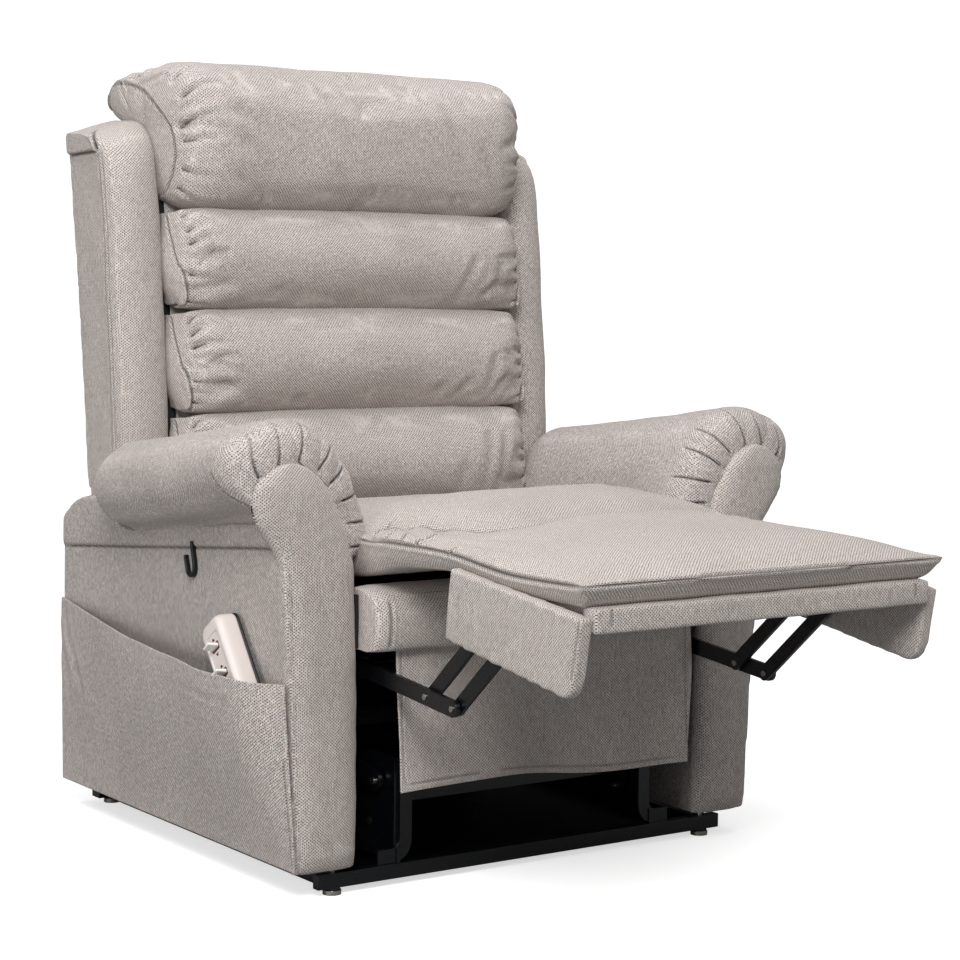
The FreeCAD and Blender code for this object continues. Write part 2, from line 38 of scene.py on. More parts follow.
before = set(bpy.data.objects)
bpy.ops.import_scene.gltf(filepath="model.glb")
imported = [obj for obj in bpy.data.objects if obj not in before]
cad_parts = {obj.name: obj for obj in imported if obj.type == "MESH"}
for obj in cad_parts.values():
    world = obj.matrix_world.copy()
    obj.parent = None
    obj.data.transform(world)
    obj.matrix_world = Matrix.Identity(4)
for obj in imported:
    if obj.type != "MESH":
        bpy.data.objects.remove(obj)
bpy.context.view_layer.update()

MM = 0.001
SIDES = (("right", -1), ("left", 1))
CLOTH_FRAMES = 18


# ---- mesh helpers ----------------------------------------------------------
def make(name, points, faces):
    """A smooth-shaded object from points in millimetres, with its faces turned outwards."""
    mesh = bpy.data.meshes.new(name)
    mesh.from_pydata((np.asarray(points, float) * MM).tolist(), [], faces)
    work = bmesh.new()
    work.from_mesh(mesh)
    bmesh.ops.recalc_face_normals(work, faces=work.faces)
    work.to_mesh(mesh)
    work.free()
    mesh.polygons.foreach_set("use_smooth", [True] * len(mesh.polygons))
    piece = bpy.data.objects.new(name, mesh)
    bpy.context.scene.collection.objects.link(piece)
    return piece


def loft(name, rings):
    """A skin over rings with the same even number of points; each end is closed by a strip of quads."""
    rings = [np.asarray(r, float) for r in rings]
    around = len(rings[0])
    faces = []
    for i in range(len(rings) - 1):
        for j in range(around):
            k = (j + 1) % around
            faces.append((i * around + j, i * around + k, (i + 1) * around + k, (i + 1) * around + j))
    for first in (0, (len(rings) - 1) * around):
        for j in range(around // 2 - 1):
            faces.append((first + j, first + j + 1, first + around - 2 - j, first + around - 1 - j))
    return make(name, np.vstack(rings), faces)


def smooth_loop(points, count, closed=True):
    """count evenly spaced points on a Catmull-Rom curve through points."""
    p = np.asarray(points, float)
    n = len(p)
    spans = n if closed else n - 1
    t = np.linspace(0, 1, 24, endpoint=False)[:, None]
    curve = []
    for i in range(spans):
        if closed:
            a, b, c, d = p[(i - 1) % n], p[i], p[(i + 1) % n], p[(i + 2) % n]
        else:
            a, b, c, d = p[max(i - 1, 0)], p[i], p[i + 1], p[min(i + 2, n - 1)]
        curve.append(0.5 * (2 * b + (c - a) * t + (2 * a - 5 * b + 4 * c - d) * t**2
                            + (3 * b - a - 3 * c + d) * t**3))
    curve = np.vstack(curve + [p[:1] if closed else p[-1:]])
    run = np.concatenate([[0], np.cumsum(np.linalg.norm(np.diff(curve, axis=0), axis=1))])
    want = np.linspace(0, run[-1], count, endpoint=not closed)
    return np.stack([np.interp(want, run, curve[:, k]) for k in range(p.shape[1])], axis=1)


def closing(ring, bulge, steps=9):
    """Rings that close an end with a low dome: bulge is the vector from the rim to the crown."""
    middle = ring.mean(0)
    out = []
    for t in np.linspace(0, 1, steps + 1)[1:]:
        out.append(middle + (ring - middle) * max(1 - t, 0.02) + np.asarray(bulge) * (1 - (1 - t) ** 2))
    return out


def points_of(piece):
    co = np.zeros(len(piece.data.vertices) * 3, np.float32)
    piece.data.vertices.foreach_get("co", co)
    return co.reshape(-1, 3).astype(float) / MM


def normals_of(piece):
    n = np.zeros(len(piece.data.vertices) * 3, np.float32)
    piece.data.vertex_normals.foreach_get("vector", n)
    return n.reshape(-1, 3).astype(float)


def set_points(piece, points):
    piece.data.vertices.foreach_set("co", (points * MM).astype(np.float32).ravel())
    piece.data.update()


def modify(piece, kind, **settings):
    """Adds a modifier, sets it and applies it."""
    modifier = piece.modifiers.new(kind.lower(), kind)
    for key, value in settings.items():
        setattr(modifier, key, value)
    graph = bpy.context.evaluated_depsgraph_get()
    mesh = bpy.data.meshes.new_from_object(piece.evaluated_get(graph))
    piece.modifiers.remove(modifier)
    old = piece.data
    piece.data = mesh
    bpy.data.meshes.remove(old)
    piece.data.polygons.foreach_set("use_smooth", [True] * len(piece.data.polygons))


def remesh(piece, voxel, relax=4):
    modify(piece, "REMESH", mode="VOXEL", voxel_size=voxel * MM)
    modify(piece, "SMOOTH", factor=0.5, iterations=relax)


def subdivide(piece, levels=1):
    modify(piece, "SUBSURF", levels=levels, render_levels=levels)


def from_cad(name, node, side=0):
    """A copy of a CAD node's mesh, or of its half on one side of the middle plane."""
    work = bmesh.new()
    work.from_mesh(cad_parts[node].data)
    bmesh.ops.remove_doubles(work, verts=work.verts, dist=1e-6)
    if side:
        far = [v for v in work.verts if v.co.x * side < 0]
        bmesh.ops.delete(work, geom=far, context="VERTS")
    mesh = bpy.data.meshes.new(name)
    work.to_mesh(mesh)
    work.free()
    piece = bpy.data.objects.new(name, mesh)
    bpy.context.scene.collection.objects.link(piece)
    return piece


def inflate(piece, cap, pressure=4.0, slack=0.0, pinned=None):
    """Fills a cover like a cushion; no point ends further than cap from where it began."""
    before = points_of(piece)
    cloth = piece.modifiers.new("filling", "CLOTH")
    settings = cloth.settings
    settings.quality = 5
    settings.mass = 0.3
    settings.tension_stiffness = 20
    settings.compression_stiffness = 20
    settings.shear_stiffness = 8
    settings.bending_stiffness = 1.5
    settings.use_pressure = True
    settings.uniform_pressure_force = pressure
    settings.shrink_min = -slack
    settings.effector_weights.gravity = 0
    cloth.collision_settings.use_collision = False
    cloth.collision_settings.use_self_collision = False
    if pinned is not None:
        group = piece.vertex_groups.new(name="pinned")
        group.add([int(i) for i in np.nonzero(pinned)[0]], 1.0, "ADD")
        settings.vertex_group_mass = "pinned"
    scene = bpy.context.scene
    cloth.point_cache.frame_start = 1
    cloth.point_cache.frame_end = CLOTH_FRAMES
    for step in range(1, CLOTH_FRAMES + 1):
        scene.frame_set(step)
    graph = bpy.context.evaluated_depsgraph_get()
    after = points_of(piece.evaluated_get(graph))
    piece.modifiers.remove(cloth)
    if pinned is not None:
        piece.vertex_groups.clear()
    move = after - before
    far = np.linalg.norm(move, axis=1)
    move *= np.where(far > cap, cap / np.maximum(far, 1e-9), 1.0)[:, None]
    set_points(piece, before + move)
    scene.frame_set(1)


class Needlework:
    """Seams, folds and pleats of one cover, collected first and then pressed in together, with shade painted along
    them.
    """

    def __init__(self, piece):
        self.piece = piece
        self.points = points_of(piece)
        self.normals = normals_of(piece)
        self.tree = BVHTree.FromPolygons(
            [Vector(p) for p in self.points], [tuple(f.vertices) for f in piece.data.polygons])
        self.offset = np.zeros(len(self.points))
        self.dark = np.zeros(len(self.points))

    def around(self, x, centre, degrees):
        """The surface point seen from centre (y, z) at x, at an angle: 0 is the front, 90 the top."""
        a = math.radians(degrees)
        hit = self.tree.ray_cast(Vector((x, *centre)), Vector((0, -math.cos(a), math.sin(a))))
        return hit[0] if hit[0] is not None else Vector((x, *centre))

    def line(self, path, depth, width, start=1.0, end=1.0, ridge=0.35, dark=0.6):
        """A groove along path, with shade painted along it as much as dark says; start and end scale its depth and
        that shade at the two ends.
        """
        path = smooth_loop([tuple(p) for p in path], max(8, int(path_length(path) / 1.6)), closed=False)
        snapped = np.array([self.tree.find_nearest(Vector(p))[0] for p in path])
        gap = np.full(len(self.points), np.inf)
        closest = np.zeros(len(self.points), int)
        for first in range(0, len(snapped), 12):
            block = snapped[first:first + 12]
            low, high = block.min(0) - 4 * width, block.max(0) + 4 * width
            near = np.nonzero(((self.points > low) & (self.points < high)).all(1))[0]
            if len(near):
                gaps = np.linalg.norm(self.points[near][:, None] - block[None], axis=2)
                best = gaps.min(1)
                nearer = best < gap[near]
                gap[near[nearer]] = best[nearer]
                closest[near[nearer]] = first + gaps.argmin(1)[nearer]
        near = np.nonzero(np.isfinite(gap))[0]
        if not len(near):
            return
        d = gap[near] / width
        along = closest[near] / (len(snapped) - 1)
        strength = start + (end - start) * along
        strength = strength * np.clip(np.minimum(along, 1 - along) * 12 + 0.35, 0, 1)
        shape = -np.exp(-(d**2)) + ridge * np.exp(-((d - 2.0) ** 2))
        self.offset[near] += depth * strength * shape
        # Painted shade: how much the colour is darkened along the groove, where shade would fall.
        self.dark[near] = np.maximum(self.dark[near], dark * strength * np.exp(-(d**2) * 1.5))

    def apply(self):
        set_points(self.piece, self.points + self.normals * self.offset[:, None])
        shade(self.piece, self.dark)


def shade(piece, values):
    """Stores how deep in a fold each point lies; the fabric shader paints shade there."""
    mesh = piece.data
    layer = mesh.attributes.get("fold") or mesh.attributes.new("fold", "FLOAT", "POINT")
    layer.data.foreach_set("value", np.asarray(values, np.float32))


def path_length(path):
    p = np.array([tuple(q) for q in path], float)
    return float(np.linalg.norm(np.diff(p, axis=0), axis=1).sum())


def curve_of(table, values):
    """Smooth interpolation through a short table of (where, value) pairs."""
    where, value = np.array(table, float).T
    fine = smooth_loop(table, 400, closed=False)
    order = np.argsort(fine[:, 0])
    return np.interp(values, fine[order, 0], fine[order, 1])


def waves(points, scale, seed, octaves=3):
    """Gentle unevenness in -1..1, the same on every run."""
    draw = np.random.default_rng(seed)
    total = np.zeros(len(points))
    for octave in range(octaves):
        for _ in range(4):
            direction = draw.normal(size=3)
            direction /= np.linalg.norm(direction)
            turn = draw.uniform(0, 2 * math.pi)
            total += np.sin(points @ direction * 2 * math.pi / scale * 1.7**octave + turn) / (1.6**octave * 4)
    return total


def ruffle(piece, height, scale, seed, keep=None):
    """Unevenness of hand-stuffed padding."""
    points = points_of(piece)
    amount = waves(points, scale, seed) * height
    if keep is not None:
        amount *= keep(points)
    set_points(piece, points + normals_of(piece) * amount[:, None])


# ---- materials -------------------------------------------------------------
class Nodes:
    """A short way to wire a node tree."""

    def __init__(self, tree):
        self.tree = tree

    def add(self, kind, inputs=(), **settings):
        node = self.tree.nodes.new(kind)
        for key, value in settings.items():
            setattr(node, key, value)
        items = inputs.items() if isinstance(inputs, dict) else enumerate(inputs)
        for key, value in items:
            if isinstance(value, bpy.types.NodeSocket):
                self.tree.links.new(value, node.inputs[key])
            else:
                node.inputs[key].default_value = value
        return node

    def math(self, operation, *inputs):
        return self.add("ShaderNodeMath", inputs, operation=operation).outputs[0]

    def vector(self, operation, *inputs):
        node = self.add("ShaderNodeVectorMath", inputs, operation=operation)
        return node.outputs["Value" if operation in ("DOT_PRODUCT", "LENGTH") else "Vector"]

    def noise(self, place, scale, detail=2.0, roughness=0.5):
        node = self.add("ShaderNodeTexNoise",
                        {"Vector": place, "Scale": scale, "Detail": detail, "Roughness": roughness})
        return node.outputs["Fac"]

    def between(self, value, low, high, out_low=0.0, out_high=1.0):
        node = self.add("ShaderNodeMapRange", {"Value": value, "From Min": low, "From Max": high,
                                               "To Min": out_low, "To Max": out_high})
        node.clamp = True
        return node.outputs[0]

    def mix(self, factor, a, b, blend="MIX"):
        node = self.add("ShaderNodeMix", data_type="RGBA", blend_type=blend)
        for key, value in (("Factor", factor), ("A", a), ("B", b)):
            socket = [s for s in node.inputs if s.name == key and s.enabled][0]
            if isinstance(value, bpy.types.NodeSocket):
                self.tree.links.new(value, socket)
            else:
                socket.default_value = value
        return [s for s in node.outputs if s.enabled][0]


def material(name):
    made = bpy.data.materials.new(name)
    made.use_nodes = True
    return made, Nodes(made.node_tree), made.node_tree.nodes["Principled BSDF"]


def rgb(red, green, blue):
    """A display colour, 0 to 255, as the linear colour a shader takes."""
    parts = [c / 255 for c in (red, green, blue)]
    return [c / 12.92 if c <= 0.04045 else ((c + 0.055) / 1.055) ** 2.4 for c in parts] + [1.0]


def weave_group(period_s, period_t):
    """Node group: from a flat place to the height of a basket weave with dark gaps on a diamond lattice."""
    tree = bpy.data.node_groups.new("weave", "ShaderNodeTree")
    tree.interface.new_socket("Place", in_out="INPUT", socket_type="NodeSocketVector")
    tree.interface.new_socket("Height", in_out="OUTPUT", socket_type="NodeSocketFloat")
    n = Nodes(tree)
    start = tree.nodes.new("NodeGroupInput").outputs[0]
    split = n.add("ShaderNodeSeparateXYZ", [start]).outputs
    wave_s = n.math("COSINE", n.math("MULTIPLY", split[0], 2 * math.pi / (period_s * MM)))
    wave_t = n.math("COSINE", n.math("MULTIPLY", split[1], 2 * math.pi / (period_t * MM)))
    lattice = n.math("MULTIPLY", wave_s, wave_t)
    end = tree.nodes.new("NodeGroupOutput")
    tree.links.new(lattice, end.inputs[0])
    return tree


def fabric_material(name, tint=(1.0, 1.0, 1.0), contrast=1.0, mottle=0.0):
    """Taupe basket weave: light threads, dark gaps, heathered colour, and shade painted into folds."""
    made, n, shader = material(name)
    coords = n.add("ShaderNodeTexCoord").outputs
    place, normal = coords["Object"], coords["Normal"]
    wobble = n.add("ShaderNodeTexNoise", {"Vector": place, "Scale": 90.0, "Detail": 1.0}).outputs["Color"]
    bent = n.vector("ADD", place, n.vector("MULTIPLY", n.vector("SUBTRACT", wobble, (0.5, 0.5, 0.5)),
                                           (0.0022, 0.0022, 0.0022)))
    squared = n.vector("MULTIPLY", normal, normal)
    fourth = n.vector("MULTIPLY", squared, squared)
    eighth = n.vector("MULTIPLY", fourth, fourth)
    total = n.vector("DOT_PRODUCT", eighth, (1, 1, 1))
    share = n.vector("DIVIDE", eighth, n.add("ShaderNodeCombineXYZ", [total, total, total]).outputs[0])
    x, y, z = n.add("ShaderNodeSeparateXYZ", [bent]).outputs
    group = bpy.data.node_groups.get("weave") or weave_group(4.7, 4.1)
    heights = []
    for s, t in ((y, z), (x, z), (x, y)):
        flat = n.add("ShaderNodeCombineXYZ", [s, t, 0.0]).outputs[0]
        node = n.add("ShaderNodeGroup", node_tree=group)
        made.node_tree.links.new(flat, node.inputs[0])
        heights.append(node.outputs[0])
    stacked = n.add("ShaderNodeCombineXYZ", heights).outputs[0]
    lattice = n.vector("DOT_PRODUCT", stacked, share)
    grain = n.noise(place, 620.0, 2.0, 0.6)
    threads = n.noise(n.vector("MULTIPLY", place, (1.0, 1.0, 0.16)), 900.0, 1.0)
    gaps = n.between(n.math("ADD", lattice, n.math("MULTIPLY", n.math("SUBTRACT", grain, 0.5), 0.9)), 0.1, 0.7)
    light = [c * t for c, t in zip(rgb(226, 219, 214), tint)] + [1.0]
    mid = [c * t for c, t in zip(rgb(176, 167, 162), tint)] + [1.0]
    dark = [c * t for c, t in zip(rgb(66, 56, 52), tint)] + [1.0]
    heather = n.mix(n.between(threads, 0.35, 0.68), mid, light)
    pink = n.mix(n.between(n.noise(place, 210.0, 1.0), 0.52, 0.75, 0.0, 0.35), heather, rgb(190, 168, 152))
    woven = n.mix(n.math("MULTIPLY", gaps, contrast), pink, dark)
    cloudy = n.between(n.noise(place, 7.0, 2.0), 0.3, 0.7, 0.94, 1.05)
    cloudy = n.math("MULTIPLY", cloudy, n.between(n.noise(place, 230.0, 2.0), 0.36, 0.64, 1 - mottle, 1 + mottle))
    shaded = n.mix(1.0, woven, n.add("ShaderNodeCombineColor", [cloudy, cloudy, cloudy]).outputs[0], "MULTIPLY")
    # Painted shade: the fold attribute blends the colour towards near-black brown in seams, creases and pleats,
    # where shade would fall.
    fold = n.add("ShaderNodeAttribute", attribute_name="fold").outputs["Fac"]
    folded = n.mix(n.between(fold, 0.0, 0.85, 0.0, 0.97), shaded, rgb(34, 29, 27))
    made.node_tree.links.new(folded, shader.inputs["Base Color"])
    rough = n.between(grain, 0.3, 0.7, 0.82, 0.98)
    made.node_tree.links.new(rough, shader.inputs["Roughness"])
    shader.inputs["Specular IOR Level"].default_value = 0.18
    shader.inputs["Sheen Weight"].default_value = 0.22
    shader.inputs["Sheen Roughness"].default_value = 0.45
    shader.inputs["Sheen Tint"].default_value = rgb(235, 228, 220)
    height = n.math("SUBTRACT", n.math("MULTIPLY", grain, 0.5), gaps)
    bump = n.add("ShaderNodeBump", {"Strength": 0.5, "Distance": 0.0007, "Height": height})
    made.node_tree.links.new(bump.outputs[0], shader.inputs["Normal"])
    return made


def hard_material(name, colour, rough, metal=0.0, speckle=0.06, grain=900.0, dent=0.0001, coat=0.0, bevel=0.8):
    """Painted, plated or moulded surface: uneven roughness, fine grain, soft edges, and edges lightened in patches
    as a little wear and a painted highlight.
    """
    made, n, shader = material(name)
    place = n.add("ShaderNodeTexCoord").outputs["Object"]
    fine = n.noise(place, grain, 3.0)
    broad = n.noise(place, 14.0, 3.0)
    tone = n.between(broad, 0.3, 0.7, 1 - speckle, 1 + speckle)
    toned = n.mix(1.0, colour, n.add("ShaderNodeCombineColor", [tone, tone, tone]).outputs[0], "MULTIPLY")
    rounded = n.add("ShaderNodeBevel", {"Radius": bevel * MM}, samples=4).outputs[0]
    straight = n.add("ShaderNodeNewGeometry").outputs["Normal"]
    edge = n.math("SUBTRACT", 1.0, n.vector("DOT_PRODUCT", rounded, straight))
    # Edges lightened in patches: partly wear, partly a painted edge highlight.
    edge_wear_and_highlight = n.math("MULTIPLY", n.between(edge, 0.02, 0.25), n.between(fine, 0.4, 0.7))
    brighter = [min(1.0, c * 1.8 + 0.02) for c in colour[:3]] + [1.0]
    made.node_tree.links.new(n.mix(n.math("MULTIPLY", edge_wear_and_highlight, 0.5), toned, brighter), shader.inputs["Base Color"])
    made.node_tree.links.new(n.between(fine, 0.3, 0.7, rough - 0.07, rough + 0.09), shader.inputs["Roughness"])
    shader.inputs["Metallic"].default_value = metal
    shader.inputs["Coat Weight"].default_value = coat
    bump = n.add("ShaderNodeBump", {"Strength": 0.35, "Distance": dent, "Height": fine, "Normal": rounded})
    made.node_tree.links.new(bump.outputs[0], shader.inputs["Normal"])
    return made


def make_materials():
    return {
        "fabric": fabric_material("body_fabric"),
        "side_fabric": fabric_material("side_fabric", (0.96, 0.96, 0.97), 1.0, 0.16),
        "steel": hard_material("black_steel", rgb(6, 8, 12), 0.27, 0.0, 0.15, 1400.0, 0.00012, 0.1),
        "zinc": hard_material("zinc", rgb(190, 186, 176), 0.3, 1.0, 0.08, 700.0, 0.00005),
        "nickel": hard_material("nickel", rgb(180, 178, 172), 0.28, 1.0, 0.08, 700.0, 0.00005),
        "wood": hard_material("frame_wood", rgb(176, 140, 98), 0.7, 0.0, 0.25, 120.0, 0.0003),
        "webbing": hard_material("black_webbing", rgb(34, 33, 34), 0.85, 0.0, 0.2, 500.0, 0.0006),
        "lining": hard_material("black_lining", rgb(22, 22, 24), 0.9, 0.0, 0.2, 800.0, 0.0005),
        "motor": hard_material("motor_plastic", rgb(15, 16, 19), 0.42, 0.0, 0.1, 1100.0, 0.0001),
        "rod": hard_material("rod_aluminium", rgb(196, 196, 194), 0.3, 1.0, 0.06, 600.0, 0.00004),
        "hook": hard_material("hook_plastic", rgb(10, 10, 12), 0.4, 0.0, 0.1, 900.0, 0.00008),
        "handset": hard_material("handset_plastic", rgb(230, 219, 214), 0.42, 0.0, 0.03, 1500.0, 0.00006, 0.1),
        "lever": hard_material("lever_plastic", rgb(244, 243, 238), 0.35, 0.0, 0.02, 1500.0, 0.00004, 0.2),
        "mark": hard_material("handset_mark", rgb(104, 52, 42), 0.6, 0.0, 0.1, 900.0, 0.00004),
    }


def dress(piece, finish, body, *nodes):
    """Gives a piece its material and its body if any, and hides the CAD nodes it stands for."""
    piece.data.materials.clear()
    piece.data.materials.append(MATERIALS[finish])
    piece.data.polygons.foreach_set("material_index", [0] * len(piece.data.polygons))
    if finish.endswith("fabric") and "fold" not in piece.data.attributes:
        shade(piece, np.zeros(len(piece.data.vertices)))
    if body:
        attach(piece, body)
    if nodes:
        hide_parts(*nodes)
    return piece


# ---- back ------------------------------------------------------------------
SHELL_LEAN = 0.1255


def shell_rear(z):
    return 502 + SHELL_LEAN * (z - 493)


def bolster(name, section, rim, reach, shoulders, crown=0.0, flare=(0, 0)):
    """A pillow swept across the chair from -reach[0] to reach[1]: its section shrinks through round
    shoulders, short at the top and longer below, to the rim where the end panels are sewn in.
    flare pushes the ends out by its first value, from the height in its second value upwards."""
    ring = smooth_loop(section, 150)
    rim = smooth_loop(rim, 150)
    centre = ring.mean(0)
    middle = (reach[1] - reach[0]) / 2
    half = (reach[1] + reach[0]) / 2
    height = (ring[:, 1] - ring[:, 1].min()) / np.ptp(ring[:, 1])
    shoulder = shoulders[0] + (shoulders[1] - shoulders[0]) * height
    widest = max(shoulders)
    stations = half - widest + widest * np.sin(np.linspace(0, math.pi / 2, 34))
    xs = np.concatenate([-stations[::-1], np.linspace(-half + widest, half - widest, 70)[1:-1], stations])
    rings = []
    for x in xs:
        q = np.clip((abs(x) - (half - shoulder)) / shoulder, 0, 1)
        share = (1 - (1 - q**2.2) ** (1 / 1.7))[:, None]
        swell = 1 + crown * (1 - (x / half) ** 2)
        flat = (centre + (ring - centre) * swell) * (1 - share) + rim * share
        out = flare[0] * share[:, 0] * np.clip((flat[:, 1] - flare[1]) / 40, 0, 1)
        rings.append(np.column_stack([middle + x + math.copysign(1, x) * out, flat]))
    left = closing(rings[0], (-7, 0, 0))
    right = closing(rings[-1], (7, 0, 0))
    return loft(name, left[::-1] + rings + right), rings[0], rings[-1]


def end_seams(work, *rims):
    """The seam round each end panel."""
    for rim in rims:
        path = [tuple(p) for p in rim[::3]]
        work.line(path + path[:1], 2.4, 2.4, ridge=0.3, dark=0.6)


def gather(work, centre, end, first, last, count, reach, depth, seed, slant=6.0):
    """Pleats that fan out from an end seam, first to last in degrees: a short tuck with painted shade, then a soft
    fold.
    """
    draw = np.random.default_rng(seed)
    for angle in np.linspace(first, last, count):
        angle = angle + draw.uniform(-3, 3)
        length = reach * draw.uniform(0.7, 1.15)
        bend = draw.uniform(-slant, slant)
        deep = depth * draw.uniform(0.8, 1.2)
        path = []
        for t in np.linspace(0, 1, 19) ** 2.5:
            inward = 0.5 + length * t
            path.append(work.around(end + (inward if end < 0 else -inward), centre, angle + bend * t * t))
        work.line(path[:11], 0.7 * deep, 1.9, 1.0, 0.4, 0.1, 1.0)
        work.line(path, 0.8 * deep, 5.5, 1.0, 0.05, 0.5, 0.15)


def crumple(work, centre, folds):
    """Soft creases, each from (x, angle) to (x, angle) with a depth and a width."""
    for (x0, a0), (x1, a1), depth, width in folds:
        path = []
        for t in np.linspace(0, 1, 8):
            bow = 4 * math.sin(math.pi * t)
            path.append(work.around(x0 + (x1 - x0) * t, centre, a0 + (a1 - a0) * t + bow))
        work.line(path, depth, width, 0.9, 0.2, 0.5, 0.12)


def pillow_section(z0, z1, front):
    h = z1 - z0
    return [(front + 62, z0 - 1), (front + 24, z0 + 8), (front + 4, z0 + 0.32 * h), (front, z0 + 0.55 * h),
            (front + 7, z0 + 0.80 * h), (front + 32, z1 - 1), (front + 75, z1 + 1), (front + 112, z1 - 8),
            (front + 118, z0 + 0.5 * h), (front + 112, z0 + 10), (front + 92, z0 + 1)]


def pillow_rim(z0, z1, front):
    """Outline of an end panel: it leans back towards the top."""
    h = z1 - z0
    return [(front + 42, z0 + 8), (front + 26, z0 + 16), (front + 34, z0 + 0.32 * h), (front + 52, z0 + 0.55 * h),
            (front + 68, z0 + 0.76 * h), (front + 82, z1 - 12), (front + 98, z1 - 5), (front + 112, z1 - 14),
            (front + 116, z0 + 0.5 * h), (front + 108, z0 + 18), (front + 80, z0 + 8)]


HEAD_SECTION = [(388, 914), (362, 932), (350, 972), (347, 1016), (352, 1062), (368, 1098), (406, 1119),
                (466, 1126), (530, 1121), (568, 1108), (589, 1084), (587, 1060), (560, 1052), (510, 1050),
                (495, 1036), (489, 980), (482, 930), (460, 912), (420, 906)]
HEAD_RIM = [(438, 934), (418, 944), (402, 968), (396, 992), (402, 1020), (422, 1050), (448, 1070),
            (486, 1088), (534, 1100), (572, 1101), (594, 1084), (592, 1060), (562, 1047), (518, 1044),
            (500, 1030), (494, 990), (486, 950), (470, 936), (454, 932)]
HEAD_CENTRE = (450, 1000)
PILLOW_SHOULDERS = (74, 40)
PILLOW_REACH = (290, 303)


def back_pillow(name, node, z0, z1, front, seed, folds):
    centre = (front + 74, (z0 + z1) / 2)
    piece, low_rim, high_rim = bolster(name, pillow_section(z0, z1, front), pillow_rim(z0, z1, front),
                                       PILLOW_REACH, PILLOW_SHOULDERS, -0.02)
    inflate(piece, 9.0, 4.0, 0.02)
    subdivide(piece)
    ruffle(piece, 1.0, 160, seed)
    work = Needlework(piece)
    end_seams(work, low_rim, high_rim)
    gather(work, centre, -PILLOW_REACH[0], 24, 66, 3, 60, 4.5, seed)
    gather(work, centre, -PILLOW_REACH[0], -52, -24, 2, 44, 3.5, seed + 1)
    gather(work, centre, PILLOW_REACH[1], -50, 60, 6, 46, 3.5, seed + 2)
    crumple(work, centre, folds)
    work.apply()
    return dress(piece, "fabric", "back", node)


def head_pillow():
    piece, low_rim, high_rim = bolster("pillow_head_cover", HEAD_SECTION, HEAD_RIM, (292, 308), (96, 44),
                                       flare=(12, 1030))
    inflate(piece, 7.0, 4.0, 0.02)
    subdivide(piece)
    ruffle(piece, 1.6, 210, 5)
    work = Needlework(piece)
    end_seams(work, low_rim, high_rim)
    gather(work, HEAD_CENTRE, -292, 6, 128, 7, 64, 5.5, 21)
    gather(work, HEAD_CENTRE, -292, -48, -26, 2, 40, 4.0, 22)
    gather(work, HEAD_CENTRE, 308, -46, 128, 9, 54, 5.0, 23)
    crumple(work, HEAD_CENTRE, [
        ((-60, 48), (-24, -6), 2.6, 13), ((-52, -8), (-20, -38), 2.2, 12), ((90, 66), (128, 8), 2.0, 14),
        ((150, 44), (175, -24), 1.8, 13), ((-225, 30), (-160, 8), 3.4, 11), ((-215, 8), (-160, -18), 2.8, 11),
        ((-220, -20), (-140, -44), 2.4, 12), ((20, -34), (90, -46), 1.6, 14), ((215, 10), (250, -34), 2.4, 10)])
    work.apply()
    return dress(piece, "fabric", "back", "pillow_head")


def make_pillows():
    head_pillow()
    back_pillow("pillow_upper_cover", "pillow_upper", 764, 909, 340, 31, [
        ((-262, 12), (-205, -34), 4.0, 9), ((-250, -6), (-222, -44), 3.4, 8), ((-150, -30), (-95, -52), 3.0, 10),
        ((-60, -36), (-20, -54), 2.0, 9), ((205, 8), (175, -44), 3.6, 8), ((255, 4), (246, -42), 3.2, 8),
        ((225, -36), (262, -26), 4.4, 7), ((60, 20), (130, 8), 1.2, 16)])
    back_pillow("pillow_lower_cover", "pillow_lower", 611, 760, 326, 41, [
        ((-262, 2), (-190, -26), 3.2, 9), ((-255, -22), (-170, -46), 3.4, 9), ((-120, -42), (-70, -54), 2.0, 9),
        ((236, 12), (222, -42), 3.6, 8), ((190, -20), (160, -50), 3.0, 8), ((140, -28), (108, -52), 2.2, 9),
        ((-30, 16), (60, 4), 1.2, 16), ((262, -20), (230, -50), 3.2, 7)])
    back_pillow("pillow_lumbar_cover", "pillow_lumbar", 452, 607, 312, 51, [
        ((220, 36), (204, -40), 3.4, 9), ((246, 30), (236, -46), 3.2, 8), ((170, 0), (150, -44), 2.0, 10),
        ((-160, 10), (-120, -30), 1.6, 13)])


def wing_front(z):
    return curve_of([(480, 384), (573, 385), (680, 392), (777, 401), (880, 411), (968, 424), (1000, 434),
                     (1020, 447), (1034, 466), (1043, 494), (1046, 530), (1047, 568)], z)


WING_INNER = {-1: 298, 1: 310}


def slope_outwards(points):
    """The top of the back falls away towards its outer corners."""
    out = np.clip((np.abs(points[:, 0]) - 310) / 78, 0, 1)
    points[:, 2] -= 24 * out**1.3 * np.clip((points[:, 2] - 950) / 96, 0, 1)
    return points


